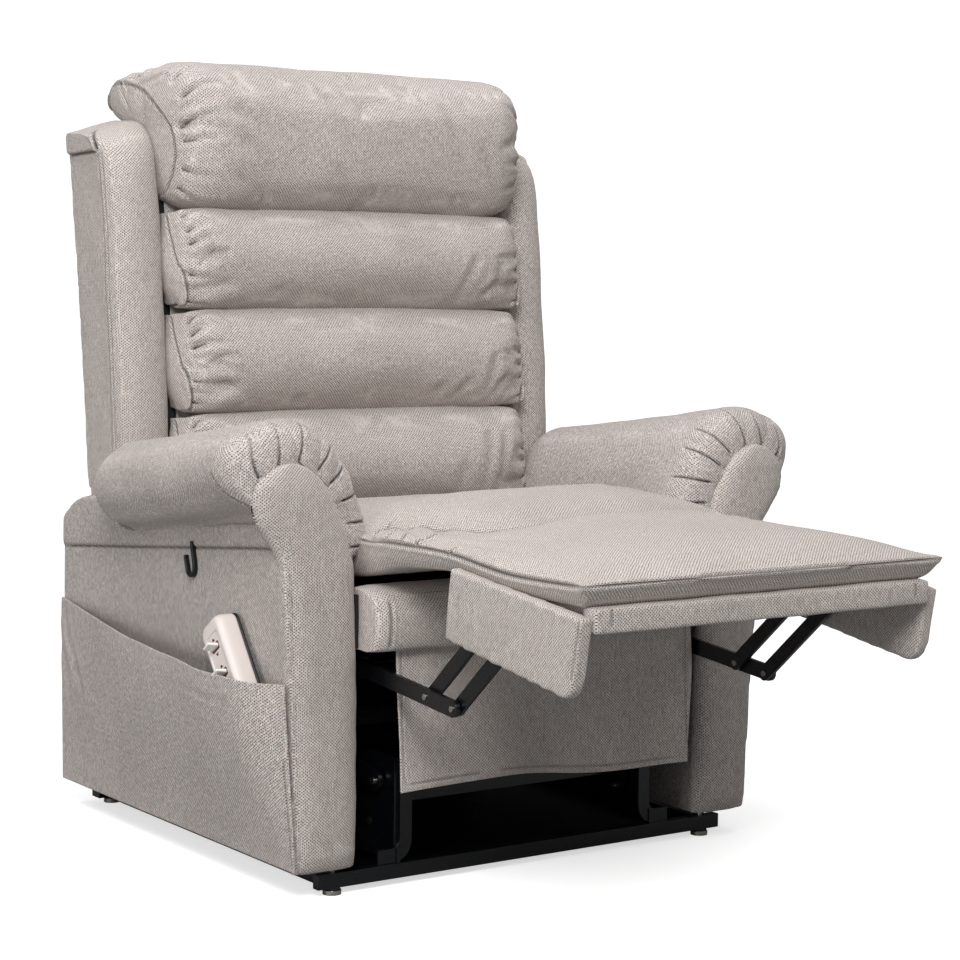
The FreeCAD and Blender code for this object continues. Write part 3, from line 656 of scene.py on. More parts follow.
def wing(word, side):
    """Side panel and padded front roll of one wing, as one upholstered form."""
    inner = WING_INNER[side]
    levels = np.concatenate([np.linspace(481, 1000, 110), np.linspace(1004, 1046.8, 30)])
    rings = []
    for z in levels:
        f = float(wing_front(z))
        r = shell_rear(z) - 10
        k = min(1.0, (r - f) / 112)
        end = min(1.0, (z - 478) / 14) ** 0.5
        inset = 6 * (1 - end)
        outline = [(388, f + 32 * k), (388 - inset, f + 17 * k), (382 - inset, f + 5 * k), (364, f - 3 + inset),
                   (342, f - 4 + inset), (inner + 17, f + 4 + inset), (inner + 4 + inset, f + 22 * k),
                   (inner + inset, f + 48 * k), (inner + 6, f + 74 * k), (344, f + 86 * k), (368, f + 92 * k),
                   (372, f + 104 * k), (374, r - 3), (380, r), (387, r - 3), (388, f + 70 * k)]
        ring = smooth_loop(outline, 140)
        rings.append(np.column_stack([side * ring[:, 0], ring[:, 1], np.full(len(ring), z)]))
    piece = loft(f"wing_cover_{word}", rings)
    subdivide(piece)
    set_points(piece, slope_outwards(points_of(piece)))
    ruffle(piece, 0.9, 120, 61)
    points = points_of(piece)
    hem_height = 992 + 0.04 * (560 - points[:, 1])
    strip = 1 / (1 + np.exp(-(points[:, 2] - hem_height) / 1.2)) * np.clip((points[:, 1] - 462) / 6, 0, 1)
    points[:, 0] += side * 5 * strip * np.clip((np.abs(points[:, 0]) - 366) / 16, 0, 1)
    points[:, 1] += 6 * strip * np.clip((points[:, 1] - 530) / 20, 0, 1)
    set_points(piece, points)
    work = Needlework(piece)
    for shift, depth in ((22, 2.4), (33, 1.0)):
        path = [(side * 388, float(wing_front(z)) + shift, z) for z in np.linspace(484, 990, 30)]
        work.line(path, depth, 2.4, 1.0, 1.0, 0.4, 0.4)
    hem = [(side * 389, y, 990 + 0.04 * (560 - y)) for y in np.linspace(466, 554, 12)]
    work.line(hem, 2.0, 2.4, 1.0, 1.0, 0.2, 0.7)
    cap = [(side * 389, 462, 994), (side * 390, 466, 1004), (side * 388, 476, 1014), (side * 380, 490, 1023),
           (side * 366, 502, 1031)]
    work.line(cap, 4.5, 2.4, 1.0, 0.5, 0.5, 1.0)
    work.apply()
    return dress(piece, "fabric", "back")


def make_back():
    wings = [wing(word, side) for word, side in SIDES]
    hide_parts("wing_panels", "wing_rolls")
    shell = from_cad("back_shell_cover", "back_shell")
    remesh(shell, 6.0, 3)
    subdivide(shell)
    set_points(shell, slope_outwards(points_of(shell)))
    ruffle(shell, 1.2, 260, 71, lambda p: (p[:, 1] > shell_rear(p[:, 2]) - 6).astype(float))
    work = Needlework(shell)
    for x in (-250, 250):
        work.line([(x, shell_rear(z), z) for z in np.linspace(500, 1040, 20)], 2.2, 3.0, dark=0.4)
    work.apply()
    dress(shell, "side_fabric", "back", "back_shell")


def sheet(name, front, rear):
    """A thin closed cloth between two grids of points of the same shape."""
    return loft(name, [np.vstack([f, r[::-1]]) for f, r in zip(front, rear)])


def make_lining():
    """Black cloth behind the pillows, the fabric strips on it, and the drop that closes the back below."""
    xs = np.linspace(-318, 318, 90)
    lining_front, lining_rear = [], []
    for z in np.linspace(452, 1010, 80):
        y = 398 + SHELL_LEAN * (z - 493) + 2.0 * np.sin(xs / 41 + z / 90)
        lining_front.append(np.column_stack([xs, y, np.full(90, z)]))
        lining_rear.append(np.column_stack([xs, y + 2.5, np.full(90, z)]))
    dress(sheet("back_lining", lining_front, lining_rear), "lining", "back")
    for word, side in SIDES:
        across = side * np.linspace(248, 288, 14)
        front, rear = [], []
        for z in np.linspace(470, 1000, 60):
            y = 392 + SHELL_LEAN * (z - 493) - 2.5 * np.sin(np.linspace(0, math.pi, 14))
            front.append(np.column_stack([across, y, np.full(14, z)]))
            rear.append(np.column_stack([across, y + 2.5, np.full(14, z)]))
        dress(sheet(f"lining_strip_{word}", front, rear), "fabric", "back")
    for word, side in SIDES:
        across = side * np.linspace(286, 352, 16)
        front, rear = [], []
        for z in np.linspace(500, 1030, 60):
            y = 432 + SHELL_LEAN * (z - 493) + np.linspace(0, 26, 16)
            front.append(np.column_stack([across, y, np.full(16, z)]))
            rear.append(np.column_stack([across, y + 2.5, np.full(16, z)]))
        dress(sheet(f"lining_side_{word}", front, rear), "lining", "back")
    xs = np.linspace(-362, 362, 90)
    front, rear = [], []
    for t in np.linspace(0, 1, 40):
        y = 500 + 62 * t + 10 * math.sin(math.pi * t) + 1.5 * np.sin(xs / 37)
        z = np.full(90, 512 - 96 * t)
        front.append(np.column_stack([xs, y, z]))
        rear.append(np.column_stack([xs, y + 3, z]))
    drop = dress(sheet("back_drop", front, rear), "lining", None)
    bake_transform(drop)
    xs = np.linspace(-270, 270, 90)
    front, rear = [], []
    for t in np.linspace(0, 1, 30):
        y = 334 + 58 * t + 0.8 * np.sin(xs / 41)
        z = np.full(90, 434 + 26 * t)
        front.append(np.column_stack([xs, y, z]))
        rear.append(np.column_stack([xs, y + 1, z - 2]))
    gap = dress(sheet("seat_gap_cloth", front, rear), "fabric", None)
    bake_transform(gap)
    # A black dust cover behind the mechanism, hung there also as a dark sheet standing in for the shade under the
    # chair.
    xs = np.linspace(-366, 366, 90)
    front, rear = [], []
    for z in np.linspace(32, 420, 50):
        y = 571 + 2.0 * np.sin(xs / 53 + z / 60)
        front.append(np.column_stack([xs, y, np.full(90, z)]))
        rear.append(np.column_stack([xs, y + 2, np.full(90, z)]))
    dress(sheet("dust_and_shade_cloth", front, rear), "lining", "carriage")


# ---- arms ------------------------------------------------------------------
# Cross-sections of the arm pad from the outer lower seam, over the top, to the inner lower edge.
PAD_SECTIONS = {
    -58: [(396, 490), (414, 506), (456, 527), (479, 553), (480, 584), (458, 610), (418, 626), (376, 629),
          (334, 614), (300, 578), (274, 528), (258, 486), (256, 456), (274, 446), (300, 452)],
    87: [(392, 468), (409, 484), (444, 497), (468, 524), (472, 558), (453, 589), (418, 604), (384, 608),
         (348, 599), (318, 575), (302, 538), (297, 502), (297, 474), (300, 462), (304, 458)],
    250: [(386, 446), (402, 461), (434, 475), (457, 506), (457, 544), (437, 569), (408, 583), (382, 587),
          (352, 579), (326, 556), (310, 524), (303, 494), (301, 470), (302, 462), (306, 458)],
    343: [(378, 434), (396, 450), (427, 463), (448, 493), (449, 528), (430, 554), (405, 570), (380, 576),
          (354, 569), (330, 548), (316, 520), (309, 494), (306, 474), (306, 462), (308, 456)],
}
PANEL_HEAD = [(441, 500), (450, 518), (448, 540), (440, 560), (420, 573), (388, 578), (364, 571), (344, 552),
              (328, 525), (317, 500), (310, 478), (306, 462), (304, 452), (303, 446)]
# Pleats from the panel's seam out over the roll, as (x, z) at the seam and (x, z) where they fade.
PLEATS = (((412, 573), (402, 600)), ((381, 576), (366, 614)), ((352, 565), (318, 598)), ((334, 547), (288, 578)),
          ((316, 523), (262, 536)), ((306, 494), (246, 496)), ((302, 462), (250, 466)))
PAD_AROUND = 420
PAD_FRONT = -58.0
PANEL_SEAM = -106.0


def pad_outline(y):
    """The pad's open outline at y, evenly spaced points from the outer seam to the inner edge."""
    ys = np.array(sorted(PAD_SECTIONS))
    table = np.array([PAD_SECTIONS[k] for k in ys])
    here = np.empty(table.shape[1:])
    for i in range(table.shape[1]):
        for axis in range(2):
            here[i, axis] = curve_of(list(zip(ys, table[:, i, axis])), y)
    return smooth_loop(here, PAD_AROUND, closed=False)


def closed_section(outline, y, side, depth=26):
    """The outline closed along the inside of the arm."""
    back = smooth_loop([outline[-1], (322, 470), (340, 490), (372, 488), outline[0]],
                       40, closed=False)[1:-1]
    ring = np.vstack([outline, back])
    return np.column_stack([side * ring[:, 0], np.full(len(ring), y), ring[:, 1]])


def arm_pad(word, side):
    rings = []
    full = pad_outline(PAD_FRONT)
    head = smooth_loop(PANEL_HEAD, PAD_AROUND, closed=False)
    for t in np.linspace(1, 0, 30):
        a = t * math.pi / 2
        y = PAD_FRONT + (PANEL_SEAM - PAD_FRONT) * math.sin(a)
        outline = full + (head - full) * (1 - math.cos(a)) ** 1.1
        rings.append(closed_section(outline, y, side))
    for y in np.linspace(PAD_FRONT + 6, 330, 64):
        rings.append(closed_section(pad_outline(y), y, side))
    last = pad_outline(330)
    middle = np.array([372, 506])
    for t in np.linspace(0.08, 1, 14):
        a = t * math.pi / 2
        size = max(math.cos(a), 0.05)
        outline = middle + (last - middle) * (1 - (1 - size) * 0.92)
        rings.append(closed_section(outline, 330 + 66 * math.sin(a), side))
    piece = loft(f"arm_pad_cover_{word}", rings)
    puff_pleats(piece, side)
    ruffle(piece, 0.8, 140, 81)
    work = Needlework(piece)
    for (x0, z0), (x1, z1) in PLEATS:
        xm, zm = 0.5 * (x0 + x1), 0.5 * (z0 + z1)
        path = [(side * x0, -107, z0), (side * xm, -97, zm), (side * x1, -66, z1)]
        work.line(path, 3.6, 1.9, 1.0, 0.6, 0.1, 1.0)
    tuck = [(side * 438, -106, 556), (side * 443, -92, 574), (side * 436, -68, 592)]
    work.line(tuck, 6.0, 2.4, 1.0, 0.3, 0.3, 1.0)
    fold = [(side * 474, -56, 568), (side * 474, -66, 548), (side * 462, -80, 530), (side * 446, -98, 522)]
    work.line(fold, 3.0, 2.0, 0.5, 1.0, 0.3, 0.9)
    work.apply()
    return dress(piece, "side_fabric", "carriage")


def puff_pleats(piece, side):
    """The border between the pleats stands up a little, more at one edge of each pleat."""
    points = points_of(piece)
    centre = np.array([372, 500])
    ends = np.array([seam for seam, _ in PLEATS] + [(441, 545)], float) - centre
    marks = np.sort(np.degrees(np.arctan2(ends[:, 1], ends[:, 0])))
    angle = np.degrees(np.arctan2(points[:, 2] - centre[1], side * points[:, 0] - centre[0]))
    share = np.clip((-50 - points[:, 1]) / 34, 0, 1) * (angle > marks[0]) * (angle < marks[-1])
    step = np.clip(np.searchsorted(marks, angle) - 1, 0, len(marks) - 2)
    u = np.clip((angle - marks[step]) / (marks[step + 1] - marks[step]), 0, 1)
    puff = 11 * u * (1 - u) * (0.7 + 0.6 * u) * share
    set_points(piece, points + normals_of(piece) * puff[:, None])


def arm_front(word, side):
    """The padded facing at the front of an arm."""
    outer_edge = [(37, 386), (60, 387), (250, 397), (420, 406), (455, 412), (480, 428), (500, 442), (520, 449),
                  (545, 447), (560, 437), (571, 420), (577, 400)]
    inner_edge = [(37, 294), (60, 291), (250, 291), (420, 296), (450, 301), (480, 308), (500, 316), (525, 328),
                  (548, 342), (562, 356), (572, 372), (577, 392)]
    levels = np.concatenate([37 + 26 * (1 - np.cos(np.linspace(0, math.pi / 2, 12))), np.linspace(66, 520, 92),
                             520 + 57 * np.sin(np.linspace(0.03, math.pi / 2, 26))])
    rings = []
    for z in levels:
        low = float(curve_of(inner_edge, z))
        high = float(curve_of(outer_edge, z))
        span = np.linspace(0, 1, 60)
        w = 0.5 - 0.5 * np.cos(math.pi * span)
        x = low + (high - low) * w
        puff = np.clip(1 - np.abs(2 * w - 1) ** 3.2, 0, 1) ** 0.5
        ends = min(1.0, ((z - 37) / 22) ** 0.5 if z < 59 else 1.0) * min(1.0, max(0.0, (578 - z) / 34) ** 0.5)
        y = -101 - (10 + 12 * ends) * puff
        front = np.column_stack([x, y])
        rear = np.column_stack([np.linspace(high, low, 22)[1:-1], np.full(20, -98.0)])
        ring = np.vstack([front, rear])
        rings.append(np.column_stack([side * ring[:, 0], ring[:, 1], np.full(len(ring), z)]))
    piece = loft(f"arm_front_cover_{word}", rings)
    ruffle(piece, 0.7, 90, 91)
    work = Needlework(piece)
    path = [(side * float(curve_of(outer_edge, z)) - side * 5, -112, z) for z in np.linspace(44, 452, 30)]
    work.line(path, 1.6, 2.4, 1.0, 1.0, 0.3, 0.3)
    work.apply()
    return dress(piece, "fabric", "carriage")


def outer_face(y, z):
    """Distance of a side panel's face from the middle plane: it leans out towards the front."""
    return 384 + 0.06 * (z - 37) * (593 - y) / 695


def band_seam(y):
    """Height of the seam below the upper band of a side panel."""
    return 403 + 0.0959 * (572 - y)


# Height of the pocket's rim, and how far the pocket stands off the side panel, along the chair.
POCKET_RIM = [(-116, 291), (-76, 291), (-22, 294), (47, 293), (111, 297), (180, 298), (237, 301), (290, 303),
              (341, 307), (390, 310), (437, 313), (500, 316), (567, 320), (592, 322)]
POCKET_BAG = [(-116, 1), (-98, 14), (-76, 31), (-48, 44), (0, 48), (50, 48), (100, 45), (180, 40), (260, 36),
              (340, 31), (450, 18), (520, 8), (592, 0)]


def arm_side(word, side):
    piece = from_cad(f"arm_side_cover_{word}", "arm_outer_panels", side)
    remesh(piece, 5.0, 4)
    subdivide(piece)
    points = points_of(piece)
    upper = 1 / (1 + np.exp(-(points[:, 2] - band_seam(points[:, 1]) - 2) / 2))
    outward = (np.abs(points[:, 0]) > outer_face(points[:, 1], points[:, 2]) - 9).astype(float)
    points[:, 1] -= 14 * np.clip((-70 - points[:, 1]) / 32, 0, 1)
    points[:, 0] += side * outward * upper * 3.0
    set_points(piece, points)
    ruffle(piece, 1.3, 240, 101)
    work = Needlework(piece)
    path = [(side * (outer_face(y, band_seam(y)) + 1), y, band_seam(y) - 2) for y in np.linspace(588, -108, 40)]
    work.line(path, 2.4, 2.2, 1.0, 1.0, 0.2, 0.8)
    if side < 0:
        # Painted shadow: a soft dark band on the panel just inside the pocket's mouth, where the rim would shade it.
        mouth_shadow = [(-outer_face(y, 300), y, float(curve_of(POCKET_RIM, y)) - 10) for y in np.linspace(540, -70, 40)]
        work.line(mouth_shadow, 0.5, 17, 0.6, 0.8, 0.0, 0.42)
    work.apply()
    return dress(piece, "side_fabric", "carriage")


def make_arms():
    sides = [arm_side(word, side) for word, side in SIDES]
    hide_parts("arm_outer_panels")
    pads = [arm_pad(word, side) for word, side in SIDES]
    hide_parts("arm_pads")
    fronts = [arm_front(word, side) for word, side in SIDES]
    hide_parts("arm_front_panels")


def pocket():
    """A sheet sewn to the side panel at its ends and foot, open and sagging at the top."""
    ys = np.linspace(590, -114, 156)
    top = curve_of(POCKET_RIM, ys)
    bag = curve_of(POCKET_BAG, ys)
    outer, inner = [], []
    for row in np.concatenate([np.linspace(0, 0.9, 62), np.linspace(0.912, 1, 12)]):
        z = 40 + (top - 40) * row
        x = outer_face(ys, z) + 3 + bag * math.sin(row * math.pi / 2) ** 1.3
        x = x + 2.2 * np.sin(ys / 47 + 2 * row) * row * (1 - row)
        outer.append(np.column_stack([-(x + 1.4), ys, z]))
        inner.append(np.column_stack([-(x - 1.4), ys, z]))
    rings = [np.vstack([o, i[::-1]]) for o, i in zip(outer, inner)]
    piece = loft("side_pocket_cover", rings)
    subdivide(piece)
    work = Needlework(piece)
    work.line([(-404, -107, 284), (-400, -107, 160), (-390, -107, 46)], 1.6, 2.0, dark=0.4)
    crease = [(-(float(o) + float(outer_face(y, t)) + 3), y, float(t) - 34)
              for o, y, t in zip(bag[96:140:6], ys[96:140:6], top[96:140:6])]
    work.line(crease, 1.2, 5.0, 0.2, 0.6, 0.4, 0.1)
    work.line([(-405, 572, 300), (-404, 556, 262), (-402, 520, 215), (-400, 500, 170)], 3.2, 9.0, 1.0, 0.2, 0.6, 0.1)
    work.line([(-405, 582, 250), (-402, 560, 190), (-398, 552, 120)], 1.8, 9.0, 0.8, 0.1, 0.6, 0.05)
    work.apply()
    return dress(piece, "side_fabric", "carriage", "side_pocket")


# ---- handset ------------------------------------------------------------------
HANDSET_TILT = math.radians(36)
HANDSET_TOP = (35, 357)
HANDSET_FACE = -438
HANDSET_LEVERS = (("upper", -39), ("lower", -78))


def on_handset(flat, x):
    """Points given across and up the handset's face, at depth x, as places on the chair."""
    flat = np.asarray(flat, float)
    c, t = math.cos(HANDSET_TILT), math.sin(HANDSET_TILT)
    y = HANDSET_TOP[0] - flat[:, 0] * c + flat[:, 1] * t
    z = HANDSET_TOP[1] + flat[:, 0] * t + flat[:, 1] * c
    return np.column_stack([np.full(len(flat), x), y, z])


def rounded_frame(half, low, high, radius, count=96):
    """A rectangle with round corners, from -half to half across and low to high up."""
    path = []
    corners = ((half - radius, high - radius, 0), (radius - half, high - radius, 90),
               (radius - half, low + radius, 180), (half - radius, low + radius, 270))
    for across, up, start in corners:
        for a in np.radians(np.linspace(start, start + 90, 10)):
            path.append((across + radius * math.cos(a), up + radius * math.sin(a)))
    closed = np.array(path + path[:1])
    steps = np.concatenate([[0], np.cumsum(np.linalg.norm(np.diff(closed, axis=0), axis=1))])
    places = np.linspace(0, steps[-1], count, endpoint=False)
    return np.column_stack([np.interp(places, steps, closed[:, i]) for i in range(2)])


def hook():
    """A flat J bent from one strip."""
    path = smooth_loop([(141, 452), (138, 437), (134, 420), (135, 409), (143, 404), (152, 408), (156, 418),
                        (160, 431)], 60, closed=False)
    run = np.gradient(path, axis=0)
    run /= np.linalg.norm(run, axis=1)[:, None]
    rings = []
    for place, way, t in zip(path, run, np.linspace(0, 1, 60)):
        section = rounded_frame(2.8 - 0.8 * t, -3.6, 3.6, 1.6, 32)
        y = place[0] - way[1] * section[:, 0]
        z = place[1] + way[0] * section[:, 0]
        rings.append(np.column_stack([-402.5 + section[:, 1], y, z]))
    dress(loft("handset_hook_cover", rings), "hook", "carriage", "handset_hook")


def handset():
    back = HANDSET_FACE + 33
    rings = [on_handset(rounded_frame(26, -119, -2, 11), back - 3), on_handset(rounded_frame(28, -120, 0, 13), back - 6)]
    for a in np.linspace(0, math.pi / 2, 9):
        inset = 7 * (1 - math.cos(a))
        rings.append(on_handset(rounded_frame(28 - inset, -120 + inset, -inset, 13), back - 20 - 13 * math.sin(a)))
    face = HANDSET_FACE
    rings += [on_handset(rounded_frame(19.5, -109, -19, 7), face), on_handset(rounded_frame(18.8, -108, -20, 6.6), face),
              on_handset(rounded_frame(18.2, -107.5, -20.6, 6.4), face + 1.1),
              on_handset(rounded_frame(10, -96, -32, 5), face + 1.3)]
    body = dress(loft("handset_cover", rings), "handset", "handset", "handset_body")
    modify(body, "BEVEL", width=0.0004, segments=2)
    # A black rim round the handset's back, which also stands in for the dark line of shade along its rear edge.
    rim = [on_handset(rounded_frame(28.8 - i, -121 + i, 0.8 - i, 13.5), x)
           for i, x in ((0.9, back), (0.4, back - 0.4), (0.4, back - 3.2), (1.5, back - 3.6))]
    dress(loft("handset_back_rim_and_shade", rim), "hook", "handset")
    for word, level in HANDSET_LEVERS:
        rings = []
        for t in np.linspace(0, 1, 14):
            thick = 3.0 - 1.5 * t
            half = 9.5 * (1 - 0.12 * t**6)
            lean = 2.2 * t
            rings.append(on_handset(rounded_frame(half, level - thick + lean, level + thick + lean, 0.9 * thick, 64),
                                    face + 3 - 16.5 * t))
        lever = dress(loft(f"handset_lever_cover_{word}", rings), "lever", f"handset_lever_{word}",
                      f"handset_lever_{word}")
        subdivide(lever)
        well = [on_handset(rounded_frame(11, level - 5.5, level + 5.5, 2.5), face + depth) for depth in (1.8, 0.9)]
        dress(loft(f"handset_well_{word}", well), "mark", "handset")
        for way in (-1, 1):
            arrow = smooth_loop([(-3.4, level + way * 8.4), (0, level + way * 12.6), (3.4, level + way * 8.4),
                                 (0, level + way * 9.0)], 24)
            sign = [on_handset(arrow, face + depth) for depth in (1.6, 0.8)]
            label = "up" if way > 0 else "down"
            dress(loft(f"handset_arrow_{word}_{label}", sign), "mark", "handset")


# ---- seat and footrest -------------------------------------------------------
def chaise_pad():
    """Seat and calf cushion in one continuous cover, sewn across at the knees."""
    stations = np.concatenate([np.linspace(342, 320, 8), np.linspace(314, -100, 60), np.linspace(-106, -330, 56),
                               np.linspace(-336, -560, 40), np.linspace(-564, -592, 12)])
    seam_line = [(342, 448), (300, 452), (100, 466), (-60, 472), (-130, 476), (-210, 476), (-300, 473),
                 (-420, 461), (-540, 462), (-592, 466)]
    base_line = [(342, 408), (100, 408), (-60, 418), (-130, 430), (-190, 444), (-300, 448), (-420, 437),
                 (-550, 436), (-572, 439), (-584, 448), (-592, 462)]
    rows = 96
    rings = []
    for y in stations:
        half = float(curve_of([(342, 280), (250, 286), (-60, 287), (-140, 290), (-210, 285), (-290, 277),
                               (-450, 277), (-550, 281), (-580, 288), (-592, 291)], y))
        seam_z = float(curve_of(seam_line, y))
        base_z = min(float(curve_of(base_line, y)), seam_z - 3)
        crown = float(curve_of([(342, 4), (325, 14), (290, 22), (100, 28), (-50, 40), (-110, 47), (-150, 43),
                                (-200, 36), (-255, 24), (-310, 33), (-400, 38), (-480, 37), (-530, 31),
                                (-560, 22), (-580, 11), (-592, 2)], y))
        w = np.cos(np.linspace(0, math.pi, rows))
        top = np.column_stack([half * w, seam_z + crown * (1 - np.abs(w) ** 3.6) ** 0.5])
        wall = seam_z - base_z
        t = np.linspace(0, 1, 12)[1:]
        left = np.column_stack([-half + 12 * t**2.4, seam_z - wall * t])
        right = left[::-1] * np.array([-1, 1])
        bottom = np.column_stack([np.linspace(left[-1, 0], right[0, 0], 50)[1:-1], np.full(48, base_z - 1.0)])
        ring = np.vstack([top, left, bottom, right])
        rings.append(np.column_stack([ring[:, 0], np.full(len(ring), y), ring[:, 1]]))
    front = closing(rings[-1], (0, -4, 0))
    rear = closing(rings[0], (0, 5, 0))
    piece = loft("chaise_cover", rear[::-1] + rings + front)
    before = points_of(piece)
    wall = np.abs(before[:, 2] - curve_of(seam_line, before[:, 1])) < 3
    under = before[:, 2] < curve_of(seam_line, before[:, 1]) - 3
    inflate(piece, 9.0, 3.0, 0.0, (wall & (before[:, 1] < -240)) | under)
    subdivide(piece)
    ruffle(piece, 1.0, 190, 111, lambda p: np.clip((p[:, 2] - curve_of(seam_line, p[:, 1])) / 6, 0, 1))
    work = Needlework(piece)
    knee_line = [(-291, -112), (-262, -132), (-232, -166), (-200, -220), (-160, -262), (-90, -274), (-23, -277),
                 (90, -268), (200, -238), (260, -210), (293, -186)]
    knee = [(x, float(curve_of(knee_line, x)), 492) for x in np.linspace(-288, 290, 60)]
    work.line(knee, 9.0, 34.0, 0.9, 0.9, 0.15, 0.05)
    work.line(knee, 2.6, 4.5, 1.0, 1.0, 0.1, 0.35)
    for side in (-1, 1):
        edge = [(side * float(curve_of([(342, 281), (-140, 291), (-290, 277), (-450, 278), (-550, 282),
                                        (-588, 290)], y)), y,
                 float(curve_of(seam_line, y)) - 1) for y in np.linspace(330, -588, 60)]
        work.line(edge, 2.6, 2.8, 1.0, 1.0, 0.5, 0.6)
        for y, reach, rise in ((-130, 34, 26), (-166, 38, 28), (-200, 14, 20), (-232, 44, 28), (-302, 16, 16)):
            fold = []
            for t in np.linspace(0, 1, 9):
                fold.append((side * (285 - reach * t * t), y + 8 * t * t, 479 + rise * math.sin(t * 1.4)))
            work.line(fold, 4.0, 2.6, 1.0, 0.3, 0.3, 1.0)
    brim = [(x, -593, 465) for x in np.linspace(-286, 286, 60)]
    work.line(brim, 2.6, 2.8, 1.0, 1.0, 0.5, 0.6)
    for x, bend, run, depth in ((-226, 4, 96, 3.4), (-190, 22, 74, 2.6), (-120, 6, 40, 1.4), (40, 4, 30, 1.2),
                                (150, -10, 44, 1.8), (225, -8, 60, 2.6), (262, -14, 70, 2.6)):
        start = float(curve_of(knee_line, x)) - 4
        work.line([(x, start, 486), (x + bend * 0.4, start - run / 2, 490), (x + bend, start - run, 490)],
                  depth, 8.0, 1.0, 0.1, 0.5, 0.1)
    work.apply()
    piece = dress(piece, "fabric", None, "seat_cushion", "calf_pad")
    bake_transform(piece)
    return piece


def curtain():
    """The loose cloth that hangs behind the footrest mechanism."""
    xs = np.linspace(-250, 250, 130)
    hem = curve_of([(-250, 138), (-180, 140), (-60, 142), (60, 129), (150, 126), (250, 127)], xs)
    outer, inner = [], []
    for row in np.concatenate([np.linspace(0, 0.92, 50), np.linspace(0.935, 1, 12)]):
        z = 352 + (hem - 352) * row
        sway = 7 * row**2 * np.sin(xs / 78 + 0.6) + 3 * row * np.sin(xs / 31 + 1) - 8 * row
        x = xs * (1 + 0.012 * np.sin(row * 5)) + 3 * np.sin(row * 4)
        outer.append(np.column_stack([x, -138 + sway, z]))
        inner.append(np.column_stack([x, -135 + sway, z]))
    piece = loft("front_curtain_cover", [np.vstack([o, i[::-1]]) for o, i in zip(outer, inner)])
    subdivide(piece)
    work = Needlework(piece)
    work.line([(x, -150, h + 9) for x, h in zip(xs[2:-2:6], hem[2:-2:6])], 1.2, 2.0, dark=0.35)
    for x in (-243, 243):
        work.line([(x, -142, 340), (x, -145, 240), (x, -150, 150)], 1.2, 2.0, dark=0.3)
    work.line([(-30, -140, 345), (-60, -144, 300), (-70, -147, 250)], 4.0, 16.0, 0.9, 0.1, 0.5, 0.0)
    work.line([(140, -140, 345), (150, -144, 290)], 3.0, 14.0, 0.9, 0.1, 0.5, 0.0)
    work.apply()
    return dress(piece, "fabric", "carriage", "front_curtain")


def seat_box():
    """The padded box across the front of the seat, rounded along its top and at its ends."""
    rings = []
    for x in 292 * np.sin(np.linspace(-math.pi / 2, math.pi / 2, 90)):
        q = max(0.0, (abs(x) - 270) / 22)
        tuck = 12 * (1 - math.sqrt(max(0.0, 1 - q * q)))
        profile = [(-158 + tuck, 336), (-162 + tuck, 366), (-158 + tuck, 390), (-140 + tuck * 0.5, 407 - tuck * 0.6),
                   (-110, 412 - tuck * 0.6), (-92, 404), (-90, 370), (-92, 332), (-120, 327), (-148 + tuck, 328)]
        ring = smooth_loop(profile, 100)
        rings.append(np.column_stack([np.full(len(ring), x), ring]))
    piece = loft("seat_front_cover", rings)
    subdivide(piece)
    ruffle(piece, 1.0, 120, 121)
    work = Needlework(piece)
    for side in (-1, 1):
        work.line([(side * 272, -164, z) for z in np.linspace(332, 402, 8)], 2.0, 2.6, dark=0.45)
        work.line([(side * 262, -150, 402), (side * 240, -158, 392), (side * 215, -160, 388)], 1.6, 6.0, dark=0.1)
    work.apply()
    return dress(piece, "fabric", "carriage", "seat_front_rail")


def padded_board(name, node, body, finish, side=0, voxel=4.0, relax=6, swell=1.0, seed=1, seams=(),
                 lean=0.0):
    """Fabric pulled over a board: rounded edges, slightly swollen faces, and seams at the corners.
    lean slants its front end to the rear by that much for each millimetre below the top edge, and
    its rear end forwards above the bottom edge, which must stay clear of the seat when folded."""
    piece = from_cad(name, node, side)
    remesh(piece, voxel, relax)
    subdivide(piece)
    points = points_of(piece) + normals_of(piece) * swell
    rear = np.clip((points[:, 1] + 588) / 280, 0, 1)
    points[:, 1] += lean * np.clip(438 - points[:, 2], 0, None) * (1 - rear)
    points[:, 1] -= 60 * lean * rear * np.clip((points[:, 2] - 366) / 90, 0, 1)
    set_points(piece, points)
    ruffle(piece, 0.7, 110, seed)
    work = Needlework(piece)
    for path, depth in seams:
        work.line(path, depth, 2.6, dark=0.4)
    work.apply()
    return dress(piece, finish, body)


def make_seat():
    chaise_pad()
    curtain()
    seat_box()
    board = padded_board("footrest_board_cover", "footrest_board", "footrest", "fabric", 0, 4.0, 5, 1.0, 122,
                         [([(s * 246, -592, 446), (s * 246, -592, 416)], 1.8) for s in (-1, 1)])
    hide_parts("footrest_board")
    for word, side in SIDES:
        seam = [(side * 288, -584 + 0.19 * (438 - z), z) for z in np.linspace(354, 424, 8)]
        flap = padded_board(f"footrest_flap_cover_{word}", "footrest_flaps", "footrest", "fabric", side, 4.0, 5,
                            1.0, 123, [(seam, 1.4)], 0.19)
        if side < 0:
            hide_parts("footrest_flaps")


